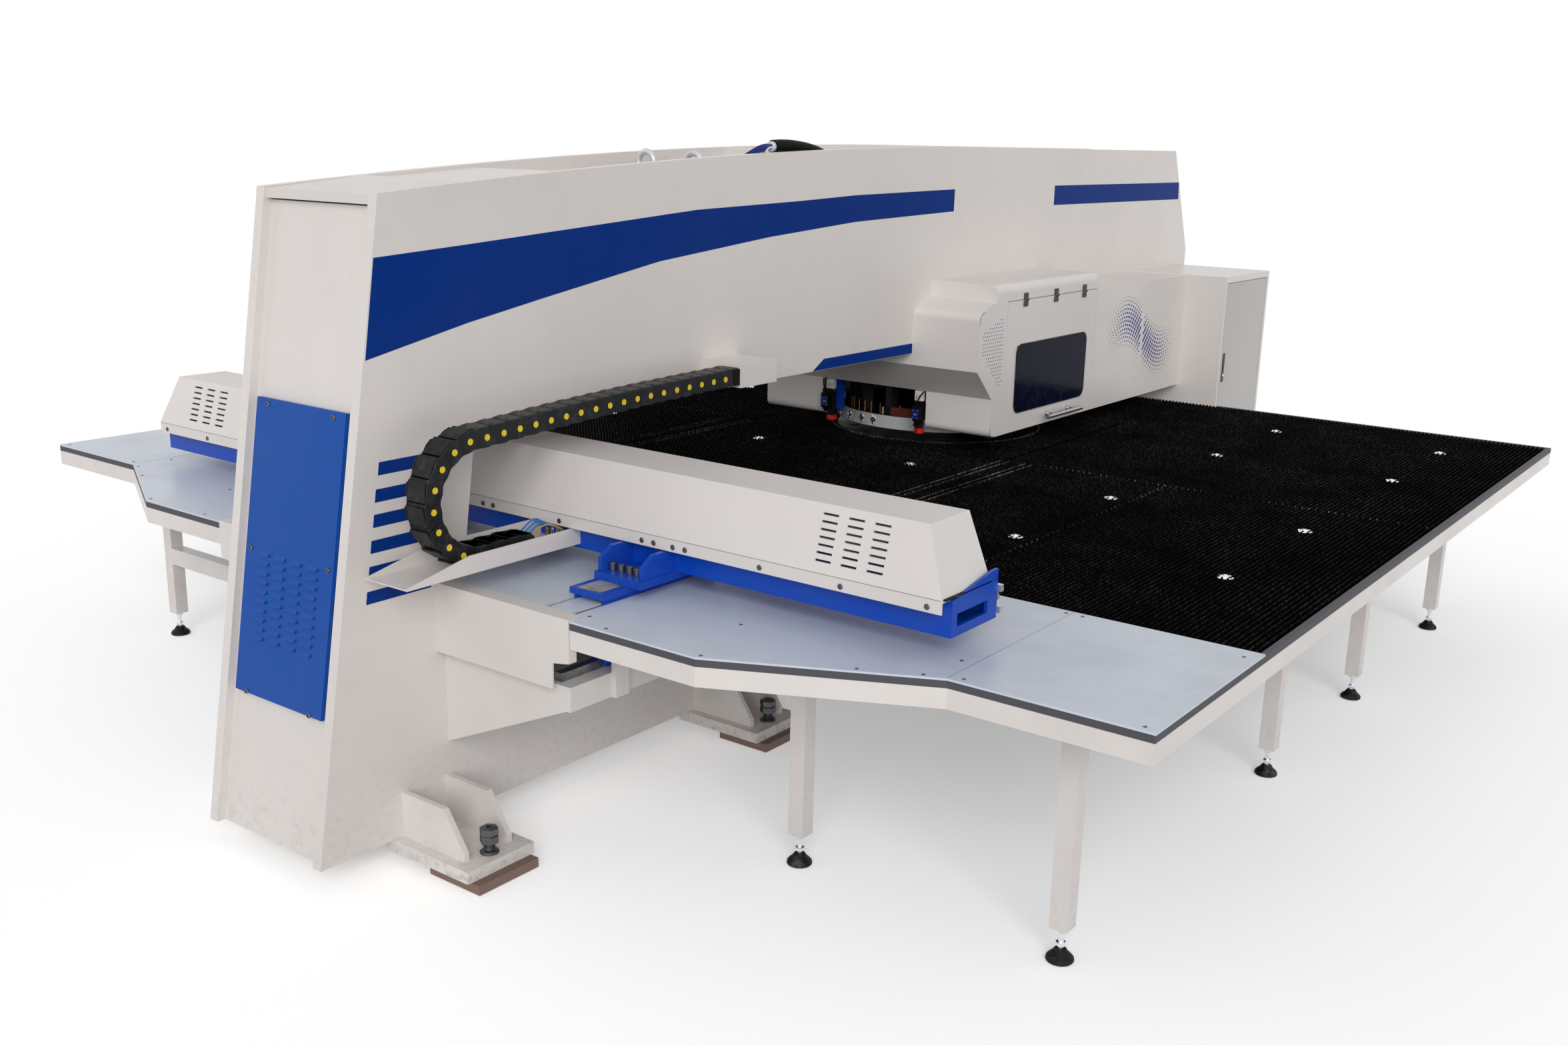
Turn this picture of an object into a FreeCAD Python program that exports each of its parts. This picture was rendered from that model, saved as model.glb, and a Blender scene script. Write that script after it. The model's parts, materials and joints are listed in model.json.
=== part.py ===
import FreeCAD, Part
import math
import os
import re
import Sketcher

# CNC turret punch press, millimetres, Z up, X across the table, Y along the main frame.
# The beam parks at the low-Y end; the turret, its covers and the cabinet are at the high-Y half.

DIMS = {
    # main frame: two flame-cut side plates with webs between them
    "frame_half": 294, "plate_t": 40, "frame_low": 72, "nose_y": -3200,
    "crown_y": -2871, "crown_z": 2108, "arch_y": 600, "arch_z": 2265, "arch_mid_y": -1433,
    "arch_mid_z": 2210, "arch_r": 39700,
    "tail_top_y": 2928, "tail_top_z": 2262, "tail_y": 3200, "tail_knee_z": 1684,
    "throat_top": 1347, "throat_floor": 800, "throat_top_y": -2530, "throat_low_y": -2607,
    "throat_back": 1450, "web_t": 30,
    # feet
    "foot_reach": 645, "foot_low": 32, "foot_long": 280, "foot_pitch": 1449, "foot_front": -2780,
    "foot_rear": 2880, "gusset_t": 20, "gusset_top": 226, "bolt_x": 590, "bolt_r": 18, "pad_t": 32,
    # trough on top: lifting eyes and the conduit's arc
    "trough_back": -600, "lid_long": 380, "trough_deep": 108, "eye_x": 120, "eye_y": -1250,
    "eye_r": 43, "cable_x": 60, "cable_y": -895, "cable_arc": 257, "cable_r": 28,
    # table
    "table_top": 890, "table_half": 2600, "table_front": -2712, "table_step": -2400,
    "table_back": 2393, "kink_in": 1377, "kink_out": 2004, "plates_back": -1633, "sheet_t": 6,
    "apron_low": 802, "apron_top": 862, "trim_top": 884, "apron_w": 50, "bar_w": 50, "trim_w": 20,
    "brush_base": 10, "tuft_top": 888, "ball_cup": 18, "tuft_w": 12, "tuft_pitch": 440,
    "slot_in": 735, "slot_out": 850, "slot_w": 22, "slot_end": 230,
    "leg_w": 58, "foot_cup": 26, "leg_edge": 348, "leg_low": 105, "leg_in": 1314,
    # Y guides
    "bed_out": 860, "bed_low": 582, "bed_top": 662, "bed_front": -2680, "bed_back": 350,
    "cover_out": 890, "cover_low": 660, "cover_top": 893, "cover_y": -2715,
    "rail_x": 790, "rail_w": 30, "rail_h": 28, "bed_gusset_low": 339,
    # turret
    "turret_y": 820, "turret_r": 500, "die_top": 885, "die_low": 812, "ring_low": 930,
    "ring_top": 995, "tool_pitch_r": 420, "tool_r": 34, "tool_top": 1190, "rim_r": 520, "die_proud": 2, "neck_top": 1262.7,
    "striker_r": 45, "striker_low": 1225, "striker_top": 1500, "striker_stroke": 30,
    # turret covers and cabinet
    "hood_out": 640, "hood_t": 4, "hood_front": 93, "hood_low_front": 236, "hood_low": 978,
    "hood_top": 1592, "hood_back": 2394, "nose_low": 1295, "nose_top": 1549, "chin": 1155,
    "bonnet_front": 240, "bonnet_back": 1262, "bonnet_top": 1672,
    "door_front": 345, "door_back": 1260, "door_t": 18, "door_gap": 3,
    "window_front": 453, "window_back": 1162, "window_low": 1087, "window_top": 1380,
    "cab_out": 875, "cab_back": 3060, "cab_top": 1597, "cab_door_low": 80, "cab_door_top": 1560,
    "door_pin_r": 6, "lever_low": 1020, "lever_top": 1164,
    # Y carriage: beam, cover, saddles, tray
    "beam_front": -2265, "beam_back": -2010, "beam_low": 951, "beam_top": 1060,
    "beam_wall": 12, "hat_half": 1920, "hat_front": -2307, "hat_lip": 1027, "hat_knee": 1070,
    "hat_top": 1264, "hat_top_in": 80, "hat_top_front": -2254, "hat_back": -2040, "hat_t": 5,
    "vent_in": 320, "vent_pitch": 90, "vent_rise": 22,
    "beam_over": 10, "end_rise": 40,
    "saddle_front": -2540, "carrier_top": 712, "saddle_floor": 735, "step_low": 905,
    "step_top": 925, "tray_in": 310, "tray_out": 500, "tray_tip": -2990, "tray_low": 966,
    # X carriage and clamps
    "guide_over": 20, "guide_out": -1992, "plate_front": -1976, "plate_back": -1956,
    "carriage_half": 650, "clamp_pitch": 500, "jaw_pin_r": 6,
    # energy chain
    "chain_in": 383, "chain_out": 480, "chain_h": 63, "link_pitch": 70, "link_len": 62,
    "chain_start": -1400, "chain_start_z": 1428, "bend_y": -2677, "bend_top": 1377,
    "bend_low": 1007, "chain_end": -2440,
}

os.makedirs("parts", exist_ok=True)
doc = FreeCAD.newDocument("TurretPunchPress")
sheet = doc.addObject("Spreadsheet::Sheet", "Dims")
for row, (alias, size) in enumerate(DIMS.items(), start=1):
    sheet.set("A%d" % row, alias)
    sheet.set("B%d" % row, str(size))
    sheet.setAlias("B%d" % row, alias)
doc.recompute()

SUB_PARTS = []


# ---------------------------------------------------------------- helpers

def linked(expression):
    """The expression with each named size pointed at the sheet."""
    return re.sub(r"[a-z][a-z_]*", lambda name: "Dims." + name.group(0), str(expression))


def number(expression):
    """The expression's value now: named sizes and numbers joined by +, - and *."""
    total = 0.0
    for term in re.findall(r"[+-]?[^+-]+", str(expression).replace(" ", "")):
        sign = -1.0 if term.startswith("-") else 1.0
        product = 1.0
        for factor in term.lstrip("+-").split("*"):
            product *= float(DIMS.get(factor, factor))
        total += sign * product
    return total


def minus(high, low):
    """high - low, as an expression."""
    flipped = str(low).replace("-", "~").replace("+", "-").replace("~", "+")
    if flipped.startswith("+"):
        return "%s %s" % (high, flipped)
    return "%s - %s" % (high, flipped)


def place(thing, x=0, y=0, z=0):
    for axis, where in zip("xyz", (x, y, z)):
        thing.setExpression("Placement.Base." + axis, linked(where))
    return thing


def block(name, x0, x1, y0, y1, z0, z1):
    box = doc.addObject("Part::Box", name)
    box.setExpression("Length", linked(minus(x1, x0)))
    box.setExpression("Width", linked(minus(y1, y0)))
    box.setExpression("Height", linked(minus(z1, z0)))
    return place(box, x0, y0, z0)


TURNS = {"X": (FreeCAD.Vector(0, 1, 0), 90), "Y": (FreeCAD.Vector(1, 0, 0), -90),
         "Z": (FreeCAD.Vector(0, 0, 1), 0)}


def rod(name, x, y, z, radius, length, axis="Z"):
    """A cylinder that starts at x, y, z and runs along +axis."""
    cylinder = doc.addObject("Part::Cylinder", name)
    cylinder.setExpression("Radius", linked(radius))
    cylinder.setExpression("Height", linked(length))
    cylinder.Placement.Rotation = FreeCAD.Rotation(*TURNS[axis])
    return place(cylinder, x, y, z)


def peg(name, x, y, z, radius, length, sides=6, axis="Z"):
    """A nut-like bar with flat sides that starts at x, y, z and runs along +axis."""
    bar = doc.addObject("Part::Prism", name)
    bar.Polygon = sides
    bar.setExpression("Circumradius", linked(radius))
    bar.setExpression("Height", linked(length))
    bar.Placement.Rotation = FreeCAD.Rotation(*TURNS[axis])
    return place(bar, x, y, z)


def join(name, pieces):
    fused = doc.addObject("Part::MultiFuse", name)
    fused.Shapes = pieces
    fused.Refine = True
    return fused


def group(name, pieces):
    together = doc.addObject("Part::Compound", name)
    together.Links = pieces
    return together


def cut(name, base, tools):
    tool = tools[0] if len(tools) == 1 else group(name + "Tools", tools)
    result = doc.addObject("Part::Cut", name)
    result.Base = base
    result.Tool = tool
    result.Refine = True
    return result


def mirrored(name, source):
    """The same piece on the other side of the frame's middle plane."""
    twin = doc.addObject("Part::Mirroring", name)
    twin.Source = source
    twin.Normal = FreeCAD.Vector(1, 0, 0)
    return twin


def new_sketch(body, name, plane, offset=0):
    """A sketch on the body's own origin plane, moved along its normal by offset."""
    sketch = body.newObject("Sketcher::SketchObject", name)
    for feature in body.Origin.OriginFeatures:
        if feature.Role == plane:
            sketch.AttachmentSupport = (feature, [""])
    sketch.MapMode = "FlatFace"
    sketch.setExpression("AttachmentOffset.Base.z", linked(offset))
    return sketch


def pin_point(sketch, geometry, end, across, along):
    """Ties one end of a line to its two driving sizes."""
    for kind, size in (("DistanceX", across), ("DistanceY", along)):
        index = sketch.addConstraint(
            Sketcher.Constraint(kind, -1, 1, geometry, end, number(size)))
        sketch.setExpression("Constraints[%d]" % index, linked(size))


def draw_outline(sketch, corners):
    """A closed outline of straight lines through corners given as pairs of expressions."""
    points = [FreeCAD.Vector(number(across), number(along), 0) for across, along in corners]
    count = len(points)
    for index in range(count):
        sketch.addGeometry(Part.LineSegment(points[index], points[(index + 1) % count]), False)
    for index in range(count):
        sketch.addConstraint(Sketcher.Constraint("Coincident", index, 2, (index + 1) % count, 1))
    for index, (across, along) in enumerate(corners):
        pin_point(sketch, index, 1, across, along)


def pad(body, name, sketch, length):
    feature = body.newObject("PartDesign::Pad", name)
    feature.Profile = sketch
    feature.setExpression("Length", linked(length))
    body.Tip = feature
    return feature


def prism(name, plane, corners, low, high):
    """A body padded from low to high along the plane's axis (X, Y or Z) from an outline."""
    body = doc.addObject("PartDesign::Body", name)
    start = low
    if plane == "XZ_Plane":
        start = minus("0", high)
    sketch = new_sketch(body, name + "Outline", plane, start)
    draw_outline(sketch, corners)
    pad(body, name + "Pad", sketch, minus(high, low))
    return body


def round_edges(body, name, radius, along, spots):
    """Rounds the tip's edges that run along an axis through the given spots."""
    doc.recompute()
    source = body.Tip
    shape = source.Shape
    names = []
    for index, edge in enumerate(shape.Edges, start=1):
        ends = [vertex.Point for vertex in edge.Vertexes]
        if len(ends) != 2:
            continue
        run = ends[1] - ends[0]
        others = [axis for axis in "xyz" if axis != along]
        if any(abs(getattr(run, axis)) > 0.01 for axis in others):
            continue
        for spot in spots:
            if all(abs(getattr(ends[0], axis) - number(size)) < 0.5
                   for axis, size in zip(others, spot)):
                names.append("Edge%d" % index)
    fillet = body.newObject("PartDesign::Fillet", name)
    fillet.Base = (source, names)
    fillet.Radius = radius
    body.Tip = fillet
    return fillet


def publish(label, piece):
    """Names a finished sub-part and puts it on the list to export."""
    piece.Label = label
    SUB_PARTS.append(piece)
    return piece


# ---------------------------------------------------------------- main frame

def arched_plate():
    """Side plate: one sketch with the arched top, then the throat cut through it."""
    body = doc.addObject("PartDesign::Body", "ArchedPlate")
    sketch = new_sketch(body, "PlateOutline", "YZ_Plane", "frame_half - plate_t")
    corners = [("tail_top_y", "tail_top_z"), ("tail_y", "tail_knee_z"), ("tail_y", "frame_low"),
               ("nose_y", "frame_low"), ("crown_y", "crown_z")]
    spots = [FreeCAD.Vector(number(y), number(z), 0) for y, z in corners]
    arch_end = FreeCAD.Vector(number("arch_y"), number("arch_z"), 0)
    arch_mid = FreeCAD.Vector(number("arch_mid_y"), number("arch_mid_z"), 0)
    for first, second in zip(spots[:-1], spots[1:]):
        sketch.addGeometry(Part.LineSegment(first, second), False)
    sketch.addGeometry(Part.LineSegment(arch_end, spots[0]), False)
    sketch.addGeometry(Part.Arc(spots[-1], arch_mid, arch_end), False)
    for index, (y, z) in enumerate(corners[:-1]):
        pin_point(sketch, index, 1, y, z)
    pin_point(sketch, 3, 2, *corners[-1])
    pin_point(sketch, 4, 1, "arch_y", "arch_z")
    for first, second in ((0, 1), (1, 2), (2, 3), (4, 0)):
        sketch.addConstraint(Sketcher.Constraint("Coincident", first, 2, second, 1))
    doc.recompute()
    crown_end = 1 if (sketch.getPoint(5, 1) - spots[-1]).Length < 1 else 2
    sketch.addConstraint(Sketcher.Constraint("Coincident", 5, crown_end, 3, 2))
    sketch.addConstraint(Sketcher.Constraint("Coincident", 5, 3 - crown_end, 4, 1))
    radius = sketch.addConstraint(Sketcher.Constraint("Radius", 5, number("arch_r")))
    sketch.setExpression("Constraints[%d]" % radius, "Dims.arch_r")
    pad(body, "PlatePad", sketch, "plate_t")
    throat = new_sketch(body, "ThroatOutline", "YZ_Plane", "frame_half - plate_t - 1")
    draw_outline(throat, [("throat_low_y", "throat_floor"), ("throat_back", "throat_floor"),
                          ("throat_back", "throat_top"), ("throat_top_y", "throat_top")])
    pocket = body.newObject("PartDesign::Pocket", "Throat")
    pocket.Profile = throat
    pocket.Reversed = True
    pocket.setExpression("Length", "Dims.plate_t + 2")
    body.Tip = pocket
    return body


FOOT_MIDDLES = ("foot_front", "foot_front + foot_pitch", "foot_rear")


def foot(number_of_foot, middle):
    """Foot plate welded under the side plate, with two gussets standing on it."""
    tag = "Foot%d" % number_of_foot
    plate = block(tag + "Plate", "frame_half - plate_t", "foot_reach",
                  middle + " - 0.5 * foot_long", middle + " + 0.5 * foot_long",
                  "foot_low", "frame_low")
    pieces = [plate]
    for side, shift in (("A", "- 100"), ("B", "+ 80")):
        pieces.append(prism(tag + "Gusset" + side, "XZ_Plane",
                            [("frame_half", "frame_low"), ("foot_reach - 60", "frame_low"),
                             ("foot_reach - 60", "frame_low + 26"),
                             ("foot_reach - 150", "gusset_top"), ("frame_half", "gusset_top")],
                            middle + shift, middle + shift + " + gusset_t"))
    return pieces


def frame_webs():
    """Plates welded between the side plates: nose, throat lining, base, tail."""
    inner = "frame_half - plate_t"
    webs = [
        prism("NoseWeb", "YZ_Plane",
              [("nose_y + 30", "frame_low"), ("nose_y + 60", "frame_low"),
               ("crown_y + 60", "crown_z - 40"), ("crown_y + 24", "crown_z - 40")],
              "plate_t - frame_half", inner),
        block("ThroatRoof", "plate_t - frame_half", inner, "throat_top_y", "throat_back",
              "throat_top", "throat_top + web_t"),
        block("ThroatBed", "plate_t - frame_half", inner, "throat_low_y", "throat_back",
              "throat_floor - web_t", "throat_floor"),
        prism("ThroatNose", "YZ_Plane",
              [("throat_low_y", "throat_floor - web_t"), ("throat_low_y", "throat_floor"),
               ("throat_top_y", "throat_top"), ("throat_top_y", "throat_top + web_t"),
               ("throat_top_y - 30", "throat_top + web_t"),
               ("throat_low_y - 30", "throat_floor - web_t")],
              "plate_t - frame_half", inner),
        block("ThroatRear", "plate_t - frame_half", inner, "throat_back", "throat_back + web_t",
              "throat_floor - web_t", "throat_top + web_t"),
        block("BaseWeb", "plate_t - frame_half", inner, "nose_y + 45", "tail_y - 20",
              "frame_low", "frame_low + web_t"),
        block("TailWeb", "plate_t - frame_half", inner, "tail_y - 40", "tail_y - 10",
              "frame_low", "tail_knee_z"),
    ]
    bore = peg("StrikerBore", 0, "turret_y - tool_pitch_r", "throat_top - 1", "striker_r + 10",
               "40", 12)
    return cut("FrameWebs", join("FrameWebsFused", webs), [bore])


def build_frame():
    right = publish("side_plate_right", arched_plate())
    publish("side_plate_left", mirrored("SidePlateLeft", right))
    feet = []
    for index, middle in enumerate(FOOT_MIDDLES):
        feet += foot(index, middle)
    right_feet = group("FeetRight", feet)
    publish("frame_feet", group("FrameFeet", [right_feet, mirrored("FeetLeft", right_feet)]))
    publish("frame_webs", frame_webs())
    bolts, pads = [], []
    for index, middle in enumerate(FOOT_MIDDLES):
        tag = str(index)
        for part, low, radius, long in (("Nut", "frame_low", "34", "30"),
                                        ("Head", "frame_low + 30", "bolt_r", "58")):
            bolts.append(peg(part + tag, "bolt_x", middle, low, radius, long))
        pads.append(block("Pad" + tag, "bolt_x - 140", "bolt_x + 90", middle + " - 125",
                          middle + " + 125", 0, "pad_t"))
    for label, name, pieces in (("levelling_bolts", "LevellingBolts", bolts),
                                ("foot_pads", "FootPads", pads)):
        half = group(name + "Right", pieces)
        publish(label, group(name, [half, mirrored(name + "Left", half)]))


def build_top():
    """Covers between the side plates, the open trough, lifting eyes and the conduit's arc."""
    inner = "frame_half - plate_t - 0.5"
    outer = "0 - frame_half + plate_t + 0.5"
    lid_end = "crown_y + lid_long"
    floor = "crown_z - trough_deep"
    covers = [
        prism("FrontLid", "YZ_Plane",
              [("crown_y + 3", "crown_z - 34"), ("crown_y + 3", "crown_z - 4"),
               (lid_end, "crown_z + 32"), (lid_end, "crown_z")], outer, inner),
        block("FrontDrop", outer, inner, lid_end + " - 4", lid_end, floor, "crown_z - 0.5"),
        block("TroughFloor", outer, inner, lid_end + " - 4", "trough_back + 4", floor + " - 4",
              floor),
        block("RearDrop", outer, inner, "trough_back", "trough_back + 4", floor,
              "arch_z - 34.3"),
        prism("RearLid", "YZ_Plane",
              [("trough_back", "arch_z - 34"), ("tail_top_y - 14", "tail_top_z - 34"),
               ("tail_top_y", "tail_top_z - 8"), ("trough_back", "arch_z - 26")], outer, inner),
        prism("TailLid", "YZ_Plane",
              [("tail_top_y - 14", "tail_top_z - 34"), ("tail_y - 44", "tail_knee_z"),
               ("tail_y - 6", "tail_knee_z"), ("tail_top_y", "tail_top_z - 8")], outer, inner),
    ]
    publish("top_covers", group("TopCovers", covers))

    post = peg("EyePost", "eye_x", "eye_y", floor, "14", "150")
    ring = peg("EyeRing", "eye_x - 9", "eye_y", "crown_z + 76", "eye_r", "18", 8, "X")
    hole = peg("EyeHole", "eye_x - 10", "eye_y", "crown_z + 76", "eye_r - 18", "20", 8, "X")
    eye = cut("Eye", join("EyeSolid", [post, ring]), [hole])
    publish("lifting_eyes", group("LiftingEyes", [eye, mirrored("EyeTwin", eye)]))

    publish("top_conduit", conduit_arch())


ARCH_STEPS = 8


def conduit_arch():
    """The conduit's half-round arch in short straights, its four long edges bevelled."""
    body = doc.addObject("PartDesign::Body", "TopConduit")
    sketch = new_sketch(body, "ArchOutline", "YZ_Plane", "cable_x - cable_r")
    corners = []
    for side, steps in (("+", range(ARCH_STEPS + 1)), ("-", range(ARCH_STEPS, -1, -1))):
        foot_y = [("cable_y + cable_arc %s cable_r" % side, "crown_z - trough_deep")]
        far_y = [("cable_y - cable_arc %s cable_r" % ("-" if side == "+" else "+"),
                  "crown_z - trough_deep")]
        ring = []
        for step in steps:
            turn = math.pi * step / ARCH_STEPS
            across, rise = math.cos(turn), math.sin(turn)
            ring.append(("cable_y + %.5f * cable_arc %s %.5f * cable_r"
                         % (across, side, across) if across >= 0 else
                         "cable_y - %.5f * cable_arc %s %.5f * cable_r"
                         % (-across, "-" if side == "+" else "+", -across),
                         "crown_z - 53 + %.5f * cable_arc %s %.5f * cable_r" % (rise, side, rise)))
        corners += foot_y + ring + far_y if side == "+" else far_y + ring + foot_y
    draw_outline(sketch, corners)
    pad(body, "ArchPad", sketch, "2 * cable_r")
    doc.recompute()
    source = body.Tip
    low = number("crown_z - trough_deep") + 1
    edges = ["Edge%d" % index for index, edge in enumerate(source.Shape.Edges, start=1)
             if abs(edge.Vertexes[0].X - edge.Vertexes[-1].X) < 0.01
             and max(vertex.Z for vertex in edge.Vertexes) > low]
    bevel = body.newObject("PartDesign::Chamfer", "ArchBevel")
    bevel.Base = (source, edges)
    bevel.Size = 16.4
    body.Tip = bevel
    return body


LOUVRE_ROWS, LOUVRE_COLUMNS = 10, 4
LOUVRE_PITCH, LOUVRE_STEP, LOUVRE_WIDE = 30, 82, 52


def louvred_panel():
    """Sheet on the sloped nose: each louvre is a hood with its slot, patterned both ways."""
    body = doc.addObject("PartDesign::Body", "LouvredPanel")
    face = new_sketch(body, "PanelOutline", "XZ_Plane", "0.3")
    draw_outline(face, [("-223", "455"), ("223", "455"), ("223", "1405"), ("-223", "1405")])
    pad(body, "PanelPad", face, "20")
    hood = new_sketch(body, "HoodOutline", "YZ_Plane", -123 - LOUVRE_WIDE / 2)
    draw_outline(hood, [("-19.3", "638"), ("-29.3", "638"), ("-19.3", "653")])
    hood_pad = pad(body, "HoodPad", hood, LOUVRE_WIDE)
    slot = new_sketch(body, "SlotOutline", "YZ_Plane", -123 - LOUVRE_WIDE / 2 + 2)
    draw_outline(slot, [("-20.3", "637"), ("-27.7", "637"), ("-20.3", "650")])
    slot_cut = body.newObject("PartDesign::Pocket", "SlotCut")
    slot_cut.Profile = slot
    slot_cut.Reversed = True
    slot_cut.Length = LOUVRE_WIDE - 4
    body.Tip = slot_cut
    pattern = body.newObject("PartDesign::LinearPattern", "LouvreGrid")
    pattern.Originals = [hood_pad, slot_cut]
    pattern.Direction = (new_axis(body, "X_Axis"), [""])
    pattern.Length = LOUVRE_STEP * (LOUVRE_COLUMNS - 1)
    pattern.Occurrences = LOUVRE_COLUMNS
    pattern.Direction2 = (new_axis(body, "Z_Axis"), [""])
    pattern.Length2 = LOUVRE_PITCH * (LOUVRE_ROWS - 1)
    pattern.Occurrences2 = LOUVRE_ROWS
    body.Tip = pattern
    run = number("crown_y + 24") - number("nose_y + 30")
    lean = math.degrees(math.atan2(run, number("crown_z - 40") - number("frame_low")))
    body.Placement.Rotation = FreeCAD.Rotation(FreeCAD.Vector(1, 0, 0), -lean)
    return place(body, 0, "nose_y + 30", "frame_low")


def new_axis(body, role):
    for feature in body.Origin.OriginFeatures:
        if feature.Role == role:
            return feature
    return None


# ---------------------------------------------------------------- table

CROSS_BARS = ("table_step + 275", "plates_back - 27", "-424", "618", "1864")


def table_edge(width):
    """Corners of the right table's edge, outer and inner, for a band of that width."""
    outer = [("cover_out + 2", "table_front"), ("kink_in", "table_front"),
             ("kink_out", "table_step"), ("table_half", "table_step"),
             ("table_half", "table_back"), ("frame_half", "table_back")]
    inner = [("cover_out + 2", "table_front + " + width), ("kink_in - 8", "table_front + " + width),
             ("kink_out - 8", "table_step + " + width),
             ("table_half - " + width, "table_step + " + width),
             ("table_half - " + width, "table_back - " + width),
             ("frame_half", "table_back - " + width)]
    return outer, inner


def edge_bars(name, width, low, high, last="frame_half"):
    """The edge band as mitred bars, each from one corner to the next."""
    outer, inner = table_edge(width)
    outer[-1], inner[-1] = (last, outer[-1][1]), (last, inner[-1][1])
    return [prism("%s%d" % (name, index), "XY_Plane",
                  [outer[index], outer[index + 1], inner[index + 1], inner[index]], low, high)
            for index in range(len(outer) - 1)]


def table_legs(tag):
    legs = []
    for index, (x, y) in enumerate(LEG_SPOTS):
        legs.append(block("%sLeg%d" % (tag, index), x + " - 0.5 * leg_w", x + " + 0.5 * leg_w",
                          y + " - 0.5 * leg_w", y + " + 0.5 * leg_w", "leg_low", "apron_low"))
    return legs


def table_frame():
    """Tube frame of the right table: mitred edge, bars that butt, ledger, plate rests, legs."""
    low, high, rest = "apron_low", "apron_top", "trim_top"
    run_out, run_in = ("slot_out + 16", "slot_out + 56"), ("slot_in - 51", "slot_in - 15")
    outer_run = (OUTER_LEG + " - 0.5 * leg_w", OUTER_LEG + " + 0.5 * leg_w")
    ledger = ("frame_half - 38", "frame_half + 40")
    rear_bar, last_bar = CROSS_BARS[3], CROSS_BARS[4]
    back = "table_back - apron_w"
    bars = edge_bars("ApronBar", "apron_w", low, high)
    for name, across, start, end, bottom, top in (
            ("OuterRun", outer_run, "table_step + apron_w", back, low, high),
            ("SlotRunOut", run_out, "table_front + apron_w", rear_bar, low, high),
            ("SlotRunIn", run_in, "table_front + apron_w", rear_bar, low, high),
            ("RearRun", run_out, rear_bar + " + bar_w", last_bar, low, high),
            ("Ledger", ledger, "-2588", "290", "throat_floor", high),
            ("LedgerTop", ledger, "-2588", "plates_back", high, rest),
            ("SlotRunOutTop", run_out, "cover_y + 60", "plates_back", high, rest),
            ("SlotRunInTop", run_in, "cover_y + 60", "plates_back", high, rest),
            ("PlateRest", (run_out[1], "table_half - trim_w"), "plates_back - 27", "plates_back",
             high, rest),
            ("PlateRestIn", (ledger[1], run_in[0]), "plates_back - 27", "plates_back",
             high, rest)):
        bars.append(block(name, across[0], across[1], start, end, bottom, top))
    starts = (run_out[1], run_out[1], run_out[1], "540", "frame_half")
    for index, (start, y) in enumerate(zip(starts, CROSS_BARS)):
        spans = [(start, outer_run[0]), (outer_run[1], "table_half - apron_w")]
        if index < 3:
            spans.append((ledger[1], run_in[0]))
        for part, (x0, x1) in enumerate(spans):
            bars.append(block("CrossBar%d%d" % (index, part), x0, x1, y, y + " + bar_w", low, high))
    return bars + table_legs("R")


OUTER_LEG = "table_half - leg_edge"
LEG_SPOTS = ((OUTER_LEG, "-2100"), ("leg_in", "-2100"), (OUTER_LEG, "-399"), (OUTER_LEG, "643"),
             (OUTER_LEG, "1889"))


def build_table_frames():
    right = publish("table_frame_right", group("TableFrameRight", table_frame()))
    stretcher = block("Stretcher", "0.5 * leg_w + leg_edge - table_half", "0 - leg_in - 0.5 * leg_w",
                      "-2129", "-2071", "345", "420")
    publish("table_frame_left", group("TableFrameLeft", [mirrored("TableFrameTwin", right),
                                                         stretcher]))
    feet = []
    for index, (x, y) in enumerate(LEG_SPOTS):
        feet.append(peg("FootCup%d" % index, x, y, 0, "42", "foot_cup"))
        feet.append(peg("FootStem%d" % index, x, y, "foot_cup", "12", "leg_low - foot_cup"))
    half = group("TableFeetRight", feet)
    publish("table_feet", group("TableFeet", [half, mirrored("TableFeetLeft", half)]))


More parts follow.
